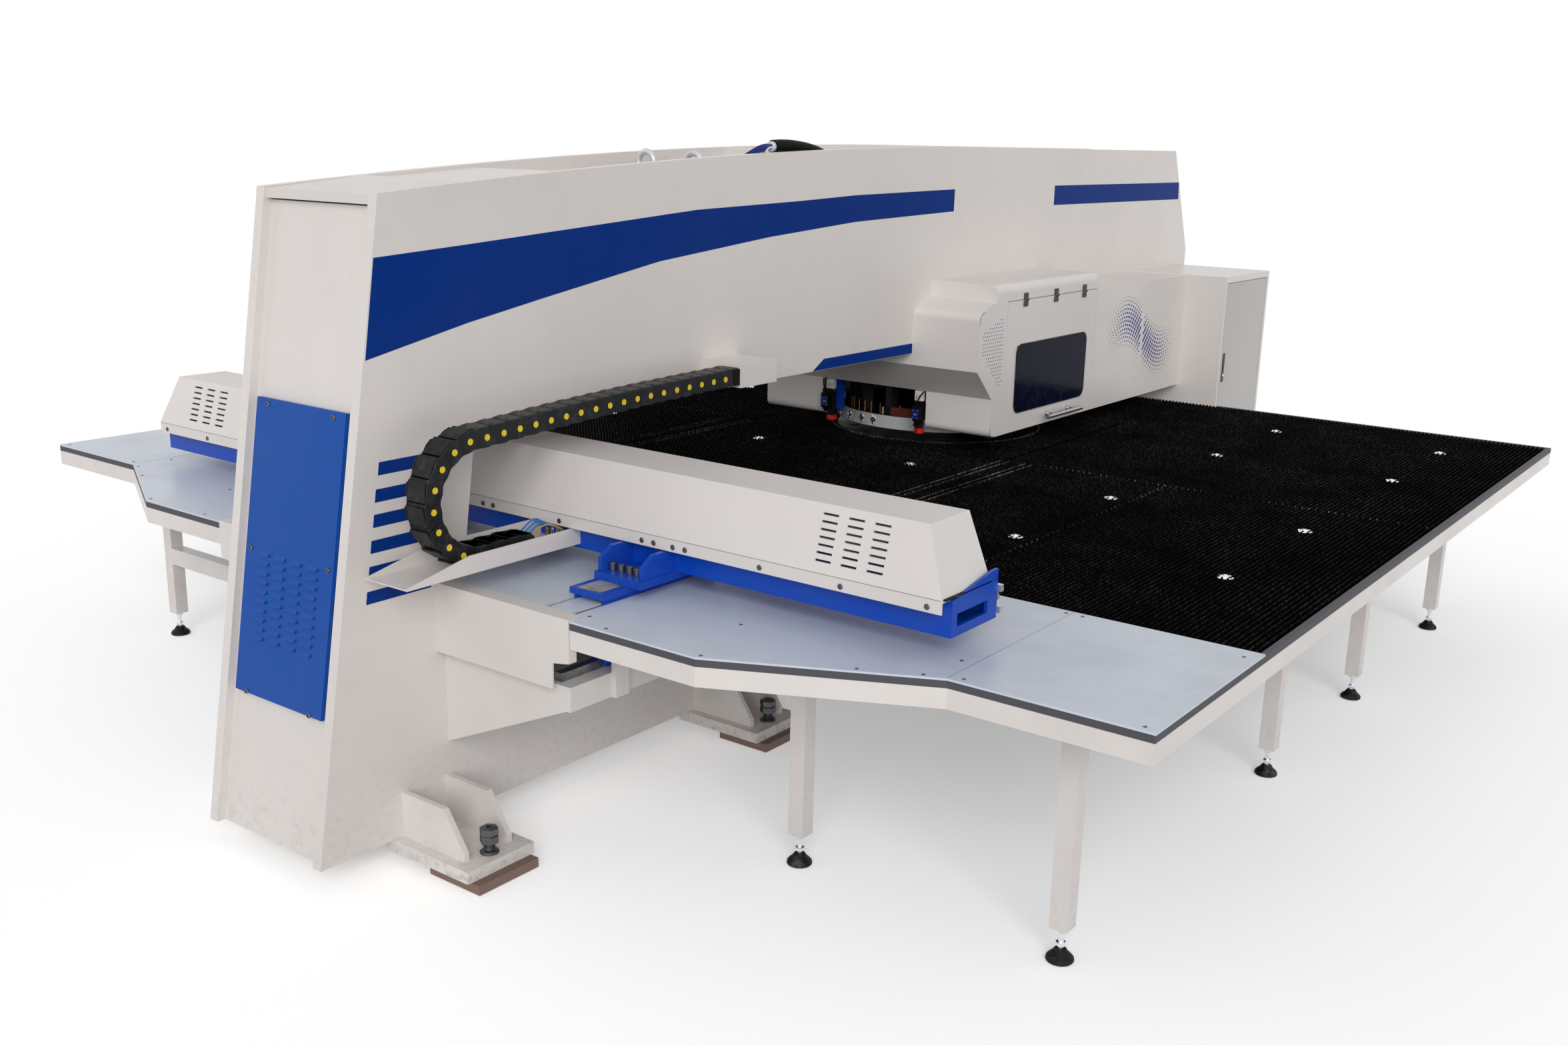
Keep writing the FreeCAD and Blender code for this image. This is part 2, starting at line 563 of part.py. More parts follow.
def build_table_tops():
    """White sheets at the front, brush fields behind, trim round the edge, ball units."""
    right = prism("FrontSheet", "XY_Plane",
                  [("slot_out + 11", "cover_y + 60"), ("cover_out + 2", "cover_y + 60"),
                   ("cover_out + 2", "table_front"), ("kink_in", "table_front"),
                   ("kink_out", "table_step"), ("table_half", "table_step"),
                   ("table_half", "plates_back"), ("slot_out + 11", "plates_back")],
                  "trim_top", "table_top")
    strip = block("StripSheet", "slot_in + 11", "slot_out - 11", "cover_y + 60", "plates_back",
                  "trim_top", "table_top")
    rib = block("StripRib", "slot_in + 30", "slot_out - 30", "cover_y + 60", "plates_back",
                "apron_top", "trim_top")
    front = publish("front_sheet_right", group("FrontSheetRight",
                                               [right, join("StripWhole", [strip, rib])]))
    publish("front_sheet_left", mirrored("FrontSheetLeft", front))
    wide = block("CentreWide", "11 - slot_in", "slot_in - 11", "-2588", "plates_back",
                 "trim_top", "table_top")
    lug = block("CentreLug", "frame_half + 2", "slot_in - 11", "cover_y + 60", "-2588",
                "trim_top", "table_top")
    publish("front_sheet_centre", join("FrontSheetCentre",
                                       [wide, lug, mirrored("CentreLugTwin", lug)]))
    trim = group("TrimRight", edge_bars("TrimBar", "trim_w", "apron_top", "trim_top",
                                        "cover_out + 2"))
    publish("edge_trim", group("EdgeTrim", [trim, mirrored("EdgeTrimTwin", trim)]))

    low, high = "apron_top", "apron_top + brush_base"
    edge = "table_half - trim_w - 0.5"
    back = "table_back - trim_w - 0.5"
    pieces = [
        block("BrushMain", "slot_out + 11", edge, "plates_back", back, low, high),
        block("BrushStrip", "slot_in + 11", "slot_out - 11", "plates_back", "slot_end", low, high),
        block("BrushInner", "slot_in - 11", "slot_out + 11", "slot_end", back, low, high),
        block("BrushRear", "frame_half + 0.5", "slot_in - 11", "throat_back", back, low, high),
    ]
    for index in range(9):
        y = "plates_back + 20 + %d * tuft_pitch" % index
        pieces.append(block("TuftRow%d" % index, "slot_out + 15", "table_half - 28", y,
                            y + " + tuft_w", high, "tuft_top"))
    field = publish("brush_field_right", group("BrushFieldRight", pieces))
    publish("brush_field_left", mirrored("BrushFieldLeft", field))

    rim = "turret_y - rim_r - 20"
    rows = [block("CentreFront", "11 - slot_in", "slot_in - 11", "plates_back", rim, low, high),
            block("CentreRound", "11 - slot_in", "slot_in - 11", rim, "throat_back", low, high)]
    for index in range(7):
        y = "plates_back + 20 + %d * tuft_pitch" % index
        rows.append(block("CentreRow%d" % index, "15 - slot_in", "slot_in - 15", y,
                          y + " + tuft_w", high, "tuft_top"))
    hole = peg("TurretHole", 0, "turret_y", "apron_top - 1", "rim_r", "40", 32)
    rear_right = block("RearNotch", "frame_half - plate_t", "slot_in", "throat_back - 0.3",
                       "throat_back", low, "tuft_top + 1")
    publish("brush_field_centre", cut("BrushFieldCentre", group("CentreRows", rows),
                                      [hole, rear_right]))


BALL_ROWS = ((-912, (1404, 2204)), (-98, (430, 1404, 2204)), (1064, (1404, 2204)),
             (1872, (1404, 2204)))


def build_ball_units():
    units = []
    for row_index, (y, columns) in enumerate(BALL_ROWS):
        for column, x in enumerate(columns):
            for side, sign in (("R", 1), ("L", -1)):
                tag = "%d%d%s" % (row_index, column, side)
                units.append(peg("BallUnit" + tag, sign * x, y, "apron_top + brush_base", "22",
                                 "ball_cup"))
    publish("ball_units", group("BallUnits", units))


# ---------------------------------------------------------------- Y guides

def build_guides():
    """Bed bracketed off the side plate, guide rail on it, folded cover at its front."""
    ledge = block("BedLedge", "slot_in - 15", "bed_out", "bed_front", "bed_back",
                  "bed_low", "bed_top")
    shelf = block("BedShelf", "frame_half", "slot_in - 15", "bed_front", "bed_back",
                  "bed_top - 20", "bed_top")
    pieces = [ledge, shelf]
    for index, y in enumerate(("bed_front", "bed_front + 1000", "bed_front + 2000",
                               "bed_back - 16")):
        pieces.append(prism("BedGusset%d" % index, "XZ_Plane",
                            [("frame_half", "bed_gusset_low"), ("bed_out - 17", "bed_low"),
                             ("slot_in - 15", "bed_low"), ("slot_in - 15", "bed_top - 20"),
                             ("frame_half", "bed_top - 20")],
                            y, y + " + 16"))
    for index, y in enumerate(("bed_front + 180", "bed_front + 1180", "bed_front + 2180",
                               "bed_back - 60")):
        pieces.append(block("BedPost%d" % index, "bed_out", "bed_out + 20", y, y + " + 60",
                            "bed_low", "apron_low"))
    right = publish("rail_bed_right", group("RailBedRight", pieces))
    publish("rail_bed_left", mirrored("RailBedLeft", right))
    rail = block("GuideRail", "rail_x - 15", "rail_x + 15", "bed_front + 20", "bed_back - 10",
                 "bed_top", "bed_top + rail_h")
    publish("y_rails", group("YRails", [rail, mirrored("GuideRailTwin", rail)]))

    plate = prism("CoverFront", "XZ_Plane",
                  [("frame_half", "cover_low"), ("cover_out - 70", "cover_low"),
                   ("cover_out - 70", "cover_low + 83"), ("cover_out", "cover_low + 95"),
                   ("cover_out", "cover_top"), ("frame_half", "cover_top")],
                  "cover_y", "cover_y + 6")
    fold = block("CoverFold", "frame_half", "cover_out", "cover_y", "cover_y + 59",
                 "table_top", "cover_top")
    side = block("CoverSide", "cover_out - 6", "cover_out", "cover_y", "cover_y + 33",
                 "cover_low + 95", "cover_top")
    rest = block("CoverShelf", "slot_in + 5", "slot_out - 5", "cover_y", "cover_y + 90",
                 "apron_top - 22", "apron_top")
    right_cover = publish("bed_cover_right", join("BedCoverRight", [plate, fold, side, rest]))
    publish("bed_cover_left", mirrored("BedCoverLeft", right_cover))


# ---------------------------------------------------------------- turret

TOOL_COUNT = 16


def ring_spots(count, radius, first_turn=0):
    """Points evenly round the turret's axis, from the punching station."""
    spots = []
    for index in range(count):
        turn = FreeCAD.Rotation(FreeCAD.Vector(0, 0, 1), 360.0 * index / count + first_turn)
        spots.append(turn.multVec(FreeCAD.Vector(0, -radius, 0)))
    return spots


def build_turret():
    """Lower and upper discs with their stations, punches, spindles, striker and sensors."""
    low_disc = rod("DieDisc", 0, "turret_y", "die_low", "turret_r", "die_top - die_low")
    hub = peg("DieHub", 0, "turret_y", "throat_floor + 0.3", "110",
              "die_low - throat_floor - 0.3", 12)
    dies, punches = [], []
    for index, spot in enumerate(ring_spots(TOOL_COUNT, DIMS["tool_pitch_r"])):
        x, y = "%.3f" % spot.x, "turret_y + %.3f" % spot.y
        dies.append(peg("Die%d" % index, x, y, "die_top", "tool_r - 6", "die_proud"))
        punches.append(peg("Punch%d" % index, x, y, "ring_top", "tool_r", "tool_top - ring_top"))
    publish("lower_turret", group("LowerTurret", [low_disc, hub] + dies))
    ring = rod("UpperRing", 0, "turret_y", "ring_low", "turret_r", "ring_top - ring_low")
    neck = peg("UpperNeck", 0, "turret_y", "ring_top", "150", "neck_top - ring_top", 12)
    publish("upper_turret", group("UpperTurret", [ring, neck]))
    publish("punch_heads", group("PunchHeads", punches))
    top = peg("TopSpindle", 0, "turret_y", "neck_top + 0.3", "110", "27", 12)
    collar = peg("TopCollar", 0, "turret_y", "neck_top + 27.3", "170",
                 "throat_top - neck_top - 27.3", 12)
    publish("turret_spindle", group("TurretSpindle", [top, collar]))

    strike_y = "turret_y - tool_pitch_r"
    publish("striker", peg("Striker", 0, strike_y, "striker_low", "striker_r",
                           "striker_top - striker_low", 16))
    drive = block("DriveBlock", "-110", "110", strike_y + " - 110", strike_y + " + 110",
                  "throat_top + web_t", "throat_top + 420")
    bore = peg("DriveBore", 0, strike_y, "throat_top", "striker_r + 0.3", "380", 16)
    publish("striker_drive", cut("StrikerDrive", drive, [bore]))
    body = block("SensorBody", "256", "291", "212", "hood_low_front", "1010", "1076")
    tab = block("SensorTab", "285", "330", "hood_low_front - 24", "hood_low_front",
                "1030", "1056")
    pin = peg("SensorPin", "272", "228", "950", "3", "60")
    sensor = join("Sensor", [body, tab, pin])
    publish("sheet_sensors", group("SheetSensors", [sensor, mirrored("SensorTwin", sensor)]))


# ---------------------------------------------------------------- covers and cabinet

def hood_outline(inset=0):
    """Side view of the turret cover, moved in by the sheet's thickness."""
    gap = str(inset)
    return [("hood_front + " + gap, "nose_low + " + gap), ("hood_front + " + gap, "nose_top - " + gap),
            ("hood_front + 120", "hood_top - " + gap), ("hood_back - " + gap, "hood_top - " + gap),
            ("hood_back - " + gap, "hood_low + " + gap),
            ("hood_low_front + " + gap, "hood_low + " + gap),
            ("hood_low_front + " + gap, "chin + " + gap)]


def hood_shell():
    """Cover: outer form with rounded front edges and raised bonnet, hollowed, door cut out."""
    body = doc.addObject("PartDesign::Body", "HoodOuter")
    outline = new_sketch(body, "HoodOutline", "YZ_Plane", "frame_half")
    draw_outline(outline, hood_outline())
    pad(body, "HoodPad", outline, "hood_out - frame_half")
    bonnet = new_sketch(body, "BonnetOutline", "YZ_Plane", "frame_half")
    draw_outline(bonnet, [("bonnet_front", "hood_top - 10"), ("bonnet_back", "hood_top - 10"),
                          ("bonnet_back", "bonnet_top"), ("bonnet_front", "bonnet_top")])
    pad(body, "BonnetPad", bonnet, "hood_out - frame_half")
    round_edges(body, "NoseRound", 40, "x", [("hood_front", "nose_top")])
    round_edges(body, "LipRound", 32, "x", [("hood_low_front", "hood_low")])
    round_edges(body, "BonnetRound", 42, "y", [("hood_out", "bonnet_top")])
    inner = prism("HoodInner", "YZ_Plane", hood_outline("hood_t"), "frame_half - 1",
                  "hood_out - hood_t")
    loft = block("BonnetInner", "frame_half - 1", "hood_out - 46", "bonnet_front + hood_t",
                 "bonnet_back - hood_t", "hood_top - 20", "bonnet_top - hood_t")
    below = block("HoodBelow", "frame_half - 1", "hood_out - door_t - 1", "hood_low_front + 40",
                  "door_back + 90", "hood_low - 1", "hood_low + 20")
    doorway = block("Doorway", "hood_out - door_t - 1", "hood_out + 1",
                    "door_front - door_gap", "door_back + door_gap",
                    "hood_low - 1", "hood_top + 1")
    return cut("HoodShell", body, [inner, loft, below, doorway])


HINGE_SPOTS = ("507", "811", "1112")


def door_parts():
    """Lift-up door with its window opening, pane, pull bar and hinge leaves."""
    leaf = block("DoorLeaf", "hood_out - door_t", "hood_out", "door_front", "door_back",
                 "hood_low", "hood_top - 2")
    light = block("DoorLight", "hood_out - door_t - 1", "hood_out + 1", "window_front",
                  "window_back", "window_low", "window_top")
    pane = block("Pane", "hood_out - 10", "hood_out - 4", "window_front", "window_back",
                 "window_low", "window_top")
    bar = peg("PullBar", "hood_out + 46", "window_front + 263", "1020", "11", "363", 8, "Y")
    posts = [peg("PullPost%d" % index, "hood_out", "window_front + " + y, "1020", "8", "46", 6, "X")
             for index, y in enumerate(("298", "528"))]
    flaps = [block("HingeFlap%d" % index, "hood_out", "hood_out + 4", y + " - 16", y + " + 16",
                   "hood_top - 32", "hood_top - 3.3") for index, y in enumerate(HINGE_SPOTS)]
    door = join("CoverDoor", [cut("CoverDoorLeaf", leaf, [light])] + flaps)
    return door, pane, join("PullHandle", [bar] + posts)


def build_covers():
    shell = publish("turret_cover_right", hood_shell())
    publish("turret_cover_left", mirrored("TurretCoverLeft", shell))
    door, pane, handle = door_parts()
    publish("cover_door_right", door)
    publish("cover_window_right", pane)
    publish("cover_handle_right", handle)
    publish("cover_door_left", mirrored("CoverDoorLeft", door))
    publish("cover_window_left", mirrored("CoverWindowLeft", pane))
    publish("cover_handle_left", mirrored("CoverHandleLeft", handle))
    leaves = []
    for index, y in enumerate(HINGE_SPOTS):
        leaf = block("HingeLeaf%d" % index, "hood_out", "hood_out + 4", y + " - 16", y + " + 16",
                     "hood_top + 6.4", "hood_top + 30")
        knuckle = peg("HingeKnuckle%d" % index, "hood_out + 5", y + " - 14", "hood_top + 2",
                      "5", "28", 6, "Y")
        leaves += [leaf, knuckle]
    right = group("HingesRight", leaves)
    publish("cover_hinges", group("CoverHinges", [right, mirrored("HingesLeft", right)]))
    visor = prism("Visor", "YZ_Plane",
                  [("hood_front", "throat_top"), ("hood_front", "nose_low"),
                   ("hood_low_front", "chin"), ("hood_low_front + 4", "chin + 3"),
                   ("hood_front + 4", "nose_low + 3"), ("hood_front + 4", "throat_top")],
                  "0 - frame_half", "frame_half")
    publish("front_visor", visor)

    outer = block("CabinetOuter", "frame_half", "cab_out", "hood_back", "cab_back", 0, "cab_top")
    inner = block("CabinetInner", "frame_half + 20", "cab_out - 24", "hood_back + 20",
                  "cab_back - 20", "20", "cab_top - 20")
    opening = block("CabinetOpening", "cab_out - 30", "cab_out + 1", "hood_back + 18",
                    "cab_back - 20.7", "cab_door_low - 3", "cab_door_top + 3")
    arch = block("CabinetFootArch", "frame_half - 1", "foot_reach + 45", "foot_rear - 150",
                 "foot_rear + 150", "-1", "gusset_top + 6")
    case = cut("CabinetCase", outer, [inner, opening, arch])
    pin = rod("DoorPin", "cab_out", "cab_back - 21", "cab_door_low", "door_pin_r",
              "cab_door_top - cab_door_low")
    pin_bore = peg("DoorPinBore", "cab_out", "cab_back - 21", "cab_door_low - 1",
                   "door_pin_r + 0.8", "cab_door_top - cab_door_low + 2", 12)
    publish("cabinet", join("Cabinet", [case, pin]))
    leaf = block("CabinetLeaf", "cab_out - 20", "cab_out", "hood_back + 21", "cab_back - 21",
                 "cab_door_low", "cab_door_top")
    recess = block("HandleRecess", "cab_out - 8", "cab_out + 1", "hood_back + 50",
                   "hood_back + 76", "lever_low - 4", "lever_top + 4")
    publish("cabinet_door", cut("CabinetDoor", leaf, [recess, pin_bore]))
    lever = block("SwingLever", "cab_out - 7.8", "cab_out - 1", "hood_back + 53", "hood_back + 73",
                  "lever_low", "lever_top")
    pivot = peg("LeverPivot", "cab_out - 4", "hood_back + 53", "lever_top", "3.4", "20", 8, "Y")
    publish("cabinet_handle", join("CabinetHandle", [lever, pivot]))


# ---------------------------------------------------------------- Y carriage

def beam():
    """Box beam with its end plates, which rise towards the back, and their long windows."""
    half = "hat_half + beam_over"
    outer = block("BeamOuter", "0 - hat_half - beam_over", half, "beam_front", "beam_back",
                  "beam_low", "beam_top")
    inner = block("BeamInner", "beam_wall - hat_half - beam_over", half + " - beam_wall",
                  "beam_front + beam_wall", "beam_back - beam_wall",
                  "beam_low + beam_wall", "beam_top - beam_wall")
    window = block("BeamWindow", "0 - hat_half - 80", "hat_half + 80", "beam_front + 30",
                   "beam_back - 55", "beam_low + 28", "beam_low + 66")
    end = prism("BeamEnd", "YZ_Plane",
                [("beam_front", "beam_top"), ("beam_back", "beam_top"),
                 ("beam_back", "beam_top + end_rise"), ("hat_back", "beam_top + end_rise")],
                "hat_half + 0.3", half)
    return join("BeamWhole", [cut("Beam", outer, [inner, window]), end,
                              mirrored("BeamEndTwin", end)])


def hat_solid(name, inset):
    """The beam cover's tapered form as a wedge: inset moves every face in."""
    wedge = doc.addObject("Part::Wedge", name)
    wedge.Placement.Rotation = FreeCAD.Rotation(FreeCAD.Vector(1, 0, 0), 90)
    limits = {
        "Xmin": "%s - hat_half" % inset, "Xmax": "hat_half - %s" % inset,
        "X2min": "%s - hat_half + hat_top_in" % inset,
        "X2max": "hat_half - hat_top_in - %s" % inset,
        "Ymin": "hat_knee", "Ymax": "hat_top - %s" % inset,
        "Zmin": "0 - hat_back + %s" % inset, "Zmax": "0 - hat_front - %s" % inset,
        "Z2min": "0 - hat_back + %s" % inset, "Z2max": "0 - hat_top_front - %s" % inset,
    }
    for side, size in limits.items():
        wedge.setExpression(side, linked(size))
    return wedge


def beam_cover():
    """Sheet cover: tapered top, straight lip round the foot, vent slots near both ends."""
    lip = block("HatLip", "0 - hat_half", "hat_half", "hat_front", "hat_back", "beam_top",
                "hat_knee")
    apron = block("HatApron", "0 - hat_half", "hat_half", "hat_front", "hat_front + hat_t",
                  "hat_lip", "beam_top")
    outer = join("HatOuter", [hat_solid("HatTaper", "0"), lip, apron])
    core = block("HatCore", "hat_t - hat_half", "hat_half - hat_t", "hat_front + hat_t",
                 "hat_back - hat_t", "beam_top - 1", "hat_knee + 1")
    vents = []
    for column in range(3):
        for row_index in range(7):
            x = "hat_half - vent_in - vent_pitch + %d * vent_pitch" % column
            z = "hat_knee + 30 + %d * vent_rise" % row_index
            vents.append(block("Vent%d%d" % (column, row_index), x + " - 28", x + " + 28",
                               "hat_front - 5", "hat_top_front + 12", z, z + " + 7"))
    right_vents = group("VentsRight", vents)
    return cut("BeamCover", outer, [hat_solid("HatHollow", "hat_t"), core, right_vents,
                                    mirrored("VentsLeft", right_vents)])


def saddle():
    """Saddle: rail blocks and plate under the table, legs through the slots, plates on top."""
    front, back = "saddle_front + 10", "beam_back"
    pieces = [block("SaddleLow", "slot_in - 13", "slot_out + 6", front + " + 50", back,
                    "carrier_top", "saddle_floor")]
    for index, y in enumerate((front + " + 50", "beam_back - 110")):
        carrier = block("RailBlock%d" % index, "rail_x - 32", "rail_x + 32", y, y + " + 110",
                        "bed_top + 6", "carrier_top")
        groove = block("RailGroove%d" % index, "rail_x - 15.5", "rail_x + 15.5", y + " - 1",
                       y + " + 111", "bed_top", "bed_top + rail_h + 0.5")
        pieces.append(cut("RailBlockCut%d" % index, carrier, [groove]))
    for side, x in (("In", "slot_in"), ("Out", "slot_out")):
        pieces.append(prism("SaddleLeg" + side, "YZ_Plane",
                            [(front + " + 50", "saddle_floor"), (back, "saddle_floor"),
                             (back, "step_low"), (front, "step_low")], x + " - 6", x + " + 6"))
    pieces.append(block("SaddleStep", "slot_in - 13", "slot_out + 16", "saddle_front", back,
                        "step_low", "step_top"))
    pieces.append(block("SaddlePlate", "slot_in - 13", "slot_out + 70", "-2430", back,
                        "step_top", "beam_low"))
    for index, x in enumerate(("slot_in - 13", "slot_out + 48")):
        pieces.append(prism("SaddleRib%d" % index, "YZ_Plane",
                            [("-2412", "beam_low"), ("beam_front", "beam_low"),
                             ("beam_front", "hat_lip - 3"), ("-2360", "hat_lip - 3"),
                             ("-2412", "beam_low + 40")], x, x + " + 18"))
    bolts = [peg("BoltHead%d" % index, x, "-2380", "beam_low", "12", "24")
             for index, x in enumerate(SADDLE_BOLTS)]
    return group("SaddleRight", [join("SaddleSolid", pieces)] + bolts)


SADDLE_BOLTS = ("slot_in + 22", "slot_in + 58", "slot_in + 94", "slot_out + 30")


def chain_run(tag, count, start_y, start_z, step_y, step_z):
    """Links in a row, each a full-size box with the narrower joint to the next one."""
    run = []
    for index in range(count):
        y, z = start_y + index * step_y, start_z + index * step_z
        joint = "%.3f - link_len" % y
        run.append(block("%sLink%d" % (tag, index), "chain_in", "chain_out", joint, "%.3f" % y,
                         "%.3f - 0.5 * chain_h" % z, "%.3f + 0.5 * chain_h" % z))
        run.append(block("%sJoint%d" % (tag, index), "chain_in + 4", "chain_out - 4",
                         "%.3f" % (y + step_y), joint,
                         "%.3f - 0.4 * chain_h" % z, "%.3f + 0.4 * chain_h" % z))
    return run


BEND_LINKS = 8


def chain_bend(radius, middle):
    """Half-round bend: stiff links that overlap inside and gape outside."""
    links = []
    for index in range(BEND_LINKS):
        turn = 180.0 * (index + 0.5) / BEND_LINKS
        spin = FreeCAD.Rotation(FreeCAD.Vector(1, 0, 0), turn)
        spot = spin.multVec(FreeCAD.Vector(0, 0, radius))
        spot = FreeCAD.Vector(0, number("bend_y") + spot.y, middle + spot.z)
        link = doc.addObject("Part::Box", "BendLink%d" % index)
        link.setExpression("Length", "Dims.chain_out - Dims.chain_in")
        link.setExpression("Width", "Dims.link_len + 4")
        link.setExpression("Height", "Dims.chain_h")
        corner = spin.multVec(FreeCAD.Vector(0, -number("link_len") / 2 - 2,
                                             -number("chain_h") / 2))
        link.Placement = FreeCAD.Placement(
            spot + corner + FreeCAD.Vector(DIMS["chain_in"], 0, 0), spin)
        links.append(link)
    half = block("BendHalf", "chain_in - 1", "chain_out + 1", "bend_y - 0.3", "bend_y + 300",
                 "%.3f" % (middle - 300), "%.3f" % (middle + 300))
    return cut("ChainBend", join("BendLinks", links), [half])


def build_chain():
    """Energy chain: upper run, half-round bend, lower run in the tray, fixed end box."""
    start_y, start_z = DIMS["chain_start"], DIMS["chain_start_z"]
    count = 18
    publish("chain_upper", group("ChainUpper", chain_run(
        "Upper", count, start_y, start_z, (DIMS["bend_y"] - start_y) / count,
        (DIMS["bend_top"] - start_z) / count)))
    publish("chain_bend", chain_bend((DIMS["bend_top"] - DIMS["bend_low"]) / 2.0,
                                     (DIMS["bend_top"] + DIMS["bend_low"]) / 2.0))
    span = DIMS["chain_end"] - DIMS["bend_y"] - 0.3
    publish("chain_lower", group("ChainLower", chain_run(
        "Lower", 3, DIMS["chain_end"], DIMS["bend_low"], -span / 3, 0)))

    box = block("ChainBoxOuter", "frame_half", "chain_out + 5", "chain_start", "chain_start + 220",
                "chain_start_z - 43", "chain_start_z + 43")
    publish("chain_bracket", box)

    floor = block("TrayFloor", "tray_in", "tray_out", "tray_tip", "hat_front + 6",
                  "tray_low", "tray_low + 4")
    walls = []
    for side, low, high in (("In", "tray_in", "tray_in + 4"), ("Out", "tray_out - 4", "tray_out")):
        walls.append(prism("TrayWall" + side, "YZ_Plane",
                           [("tray_tip", "tray_low"), ("beam_front", "tray_low"),
                            ("beam_front", "hat_lip - 2"), ("hat_front - 3", "hat_lip - 2"),
                            ("-2745", "hat_lip - 2"), ("tray_tip", "tray_low + 8")], low, high))
    tail = block("TrayTail", "tray_in", "tray_out", "hat_front", "beam_front", "tray_low",
                 "tray_low + 4")
    publish("chain_tray", join("ChainTray", [floor, tail] + walls))


def build_carriage():
    publish("x_beam", beam())
    publish("beam_cover", beam_cover())
    right = saddle()
    left = mirrored("SaddleLeft", right)
    publish("beam_saddles", group("BeamSaddles", [right, left]))
    rails = [block("BeamRail%d" % index, "0 - hat_half - guide_over", "hat_half + guide_over",
                   "beam_back", "guide_out",
                   z, z + " + 20")
             for index, z in enumerate(("beam_low + 14", "beam_low + 79"))]
    publish("beam_rails", group("BeamRails", rails))
    tubes = []
    for index, (x, z) in enumerate((("400", "1000"), ("420", "1004"), ("440", "1000"))):
        tubes.append(peg("AirTube%d" % index, x, "chain_end", z, "5",
                         "beam_front - chain_end", 8, "Y"))
    publish("air_tubes", group("AirTubes", tubes))


def build_clamps():
    """Clamp carriage on the beam's rails with three sheet clamps."""
    pieces = [block("CarriagePlate", "0 - carriage_half", "carriage_half", "plate_front",
                    "plate_back", "beam_low + 2", "beam_top + 4")]
    for index, x in enumerate((-600, 0, 600)):
        for level, z in enumerate(("beam_low + 8", "beam_low + 73")):
            tag = "%d%d" % (index, level)
            shoe = block("Shoe" + tag, str(x - 45), str(x + 45), "beam_back + 5", "plate_front",
                         z, z + " + 32")
            groove = block("ShoeGroove" + tag, str(x - 46), str(x + 46), "beam_back",
                           "guide_out + 0.5", z + " + 5.5", z + " + 26.5")
            pieces.append(cut("ShoeCut" + tag, shoe, [groove]))
    jaws = []
    for index in range(3):
        x = (index - 1) * DIMS["clamp_pitch"]
        tag = str(index)
        pieces.append(block("ClampBody" + tag, str(x - 42), str(x + 42), "plate_back", "-1880",
                            "944", "1000"))
        for side, low in (("A", x - 42), ("B", x + 32)):
            pieces.append(block("ClampCheek" + tag + side, str(low), str(low + 10),
                                "plate_back", "-1880", "901", "944"))
        pieces.append(block("LowerJaw" + tag, str(x - 42), str(x + 42), "plate_back", "-1800",
                            "893", "901"))
        pieces.append(peg("ClampCylinder" + tag, str(x), "-1915", "1000", "26", "40", 12))
        arm = prism("UpperJaw" + tag, "YZ_Plane",
                    [("-1945", "916"), ("-1945", "938"), ("-1880", "938"), ("-1800", "919"),
                     ("-1800", "909"), ("-1840", "909"), ("-1860", "916")],
                    str(x - 30), str(x + 30))
        pin = peg("JawBore" + tag, str(x - 31), "-1900", "926", "jaw_pin_r + 0.6", "62", 8, "X")
        jaws.append(cut("JawArm" + tag, arm, [pin]))
        pieces.append(peg("JawPin" + tag, str(x - 32), "-1900", "926", "jaw_pin_r", "64", 8, "X"))
    publish("clamp_carriage", group("ClampCarriage", pieces))
    for name, jaw in zip(("clamp_jaw_left", "clamp_jaw_middle", "clamp_jaw_right"), jaws):
        publish(name, jaw)


def check_and_export():
    """Every object is sound before its sub-part is written out."""
    doc.recompute()
    for thing in doc.Objects:
        if "Invalid" in thing.State or "Error" in thing.State:
            raise RuntimeError("%s is not sound: %s" % (thing.Name, thing.State))
    for piece in SUB_PARTS:
        shape = piece.Shape
        if shape.isNull() or not shape.isValid():
            raise RuntimeError("%s has no sound shape" % piece.Label)
        shape.exportStep("parts/%s.step" % piece.Label)
        size = shape.BoundBox
        print("%-22s solids %3d  x %6.0f %6.0f  y %6.0f %6.0f  z %6.0f %6.0f" % (
            piece.Label, len(shape.Solids), size.XMin, size.XMax, size.YMin, size.YMax,
            size.ZMin, size.ZMax))


build_frame()
build_top()
publish("louvred_panel", louvred_panel())
build_table_frames()
build_table_tops()
build_ball_units()
build_guides()
build_turret()
build_covers()
build_chain()
build_carriage()
build_clamps()
check_and_export()
print("sub-parts:", len(SUB_PARTS))
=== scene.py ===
"""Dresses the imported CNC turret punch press: fine parts, finishes and a studio around the fixed frame."""

import json
import math

import bmesh
import bpy
from mathutils import Matrix, Vector

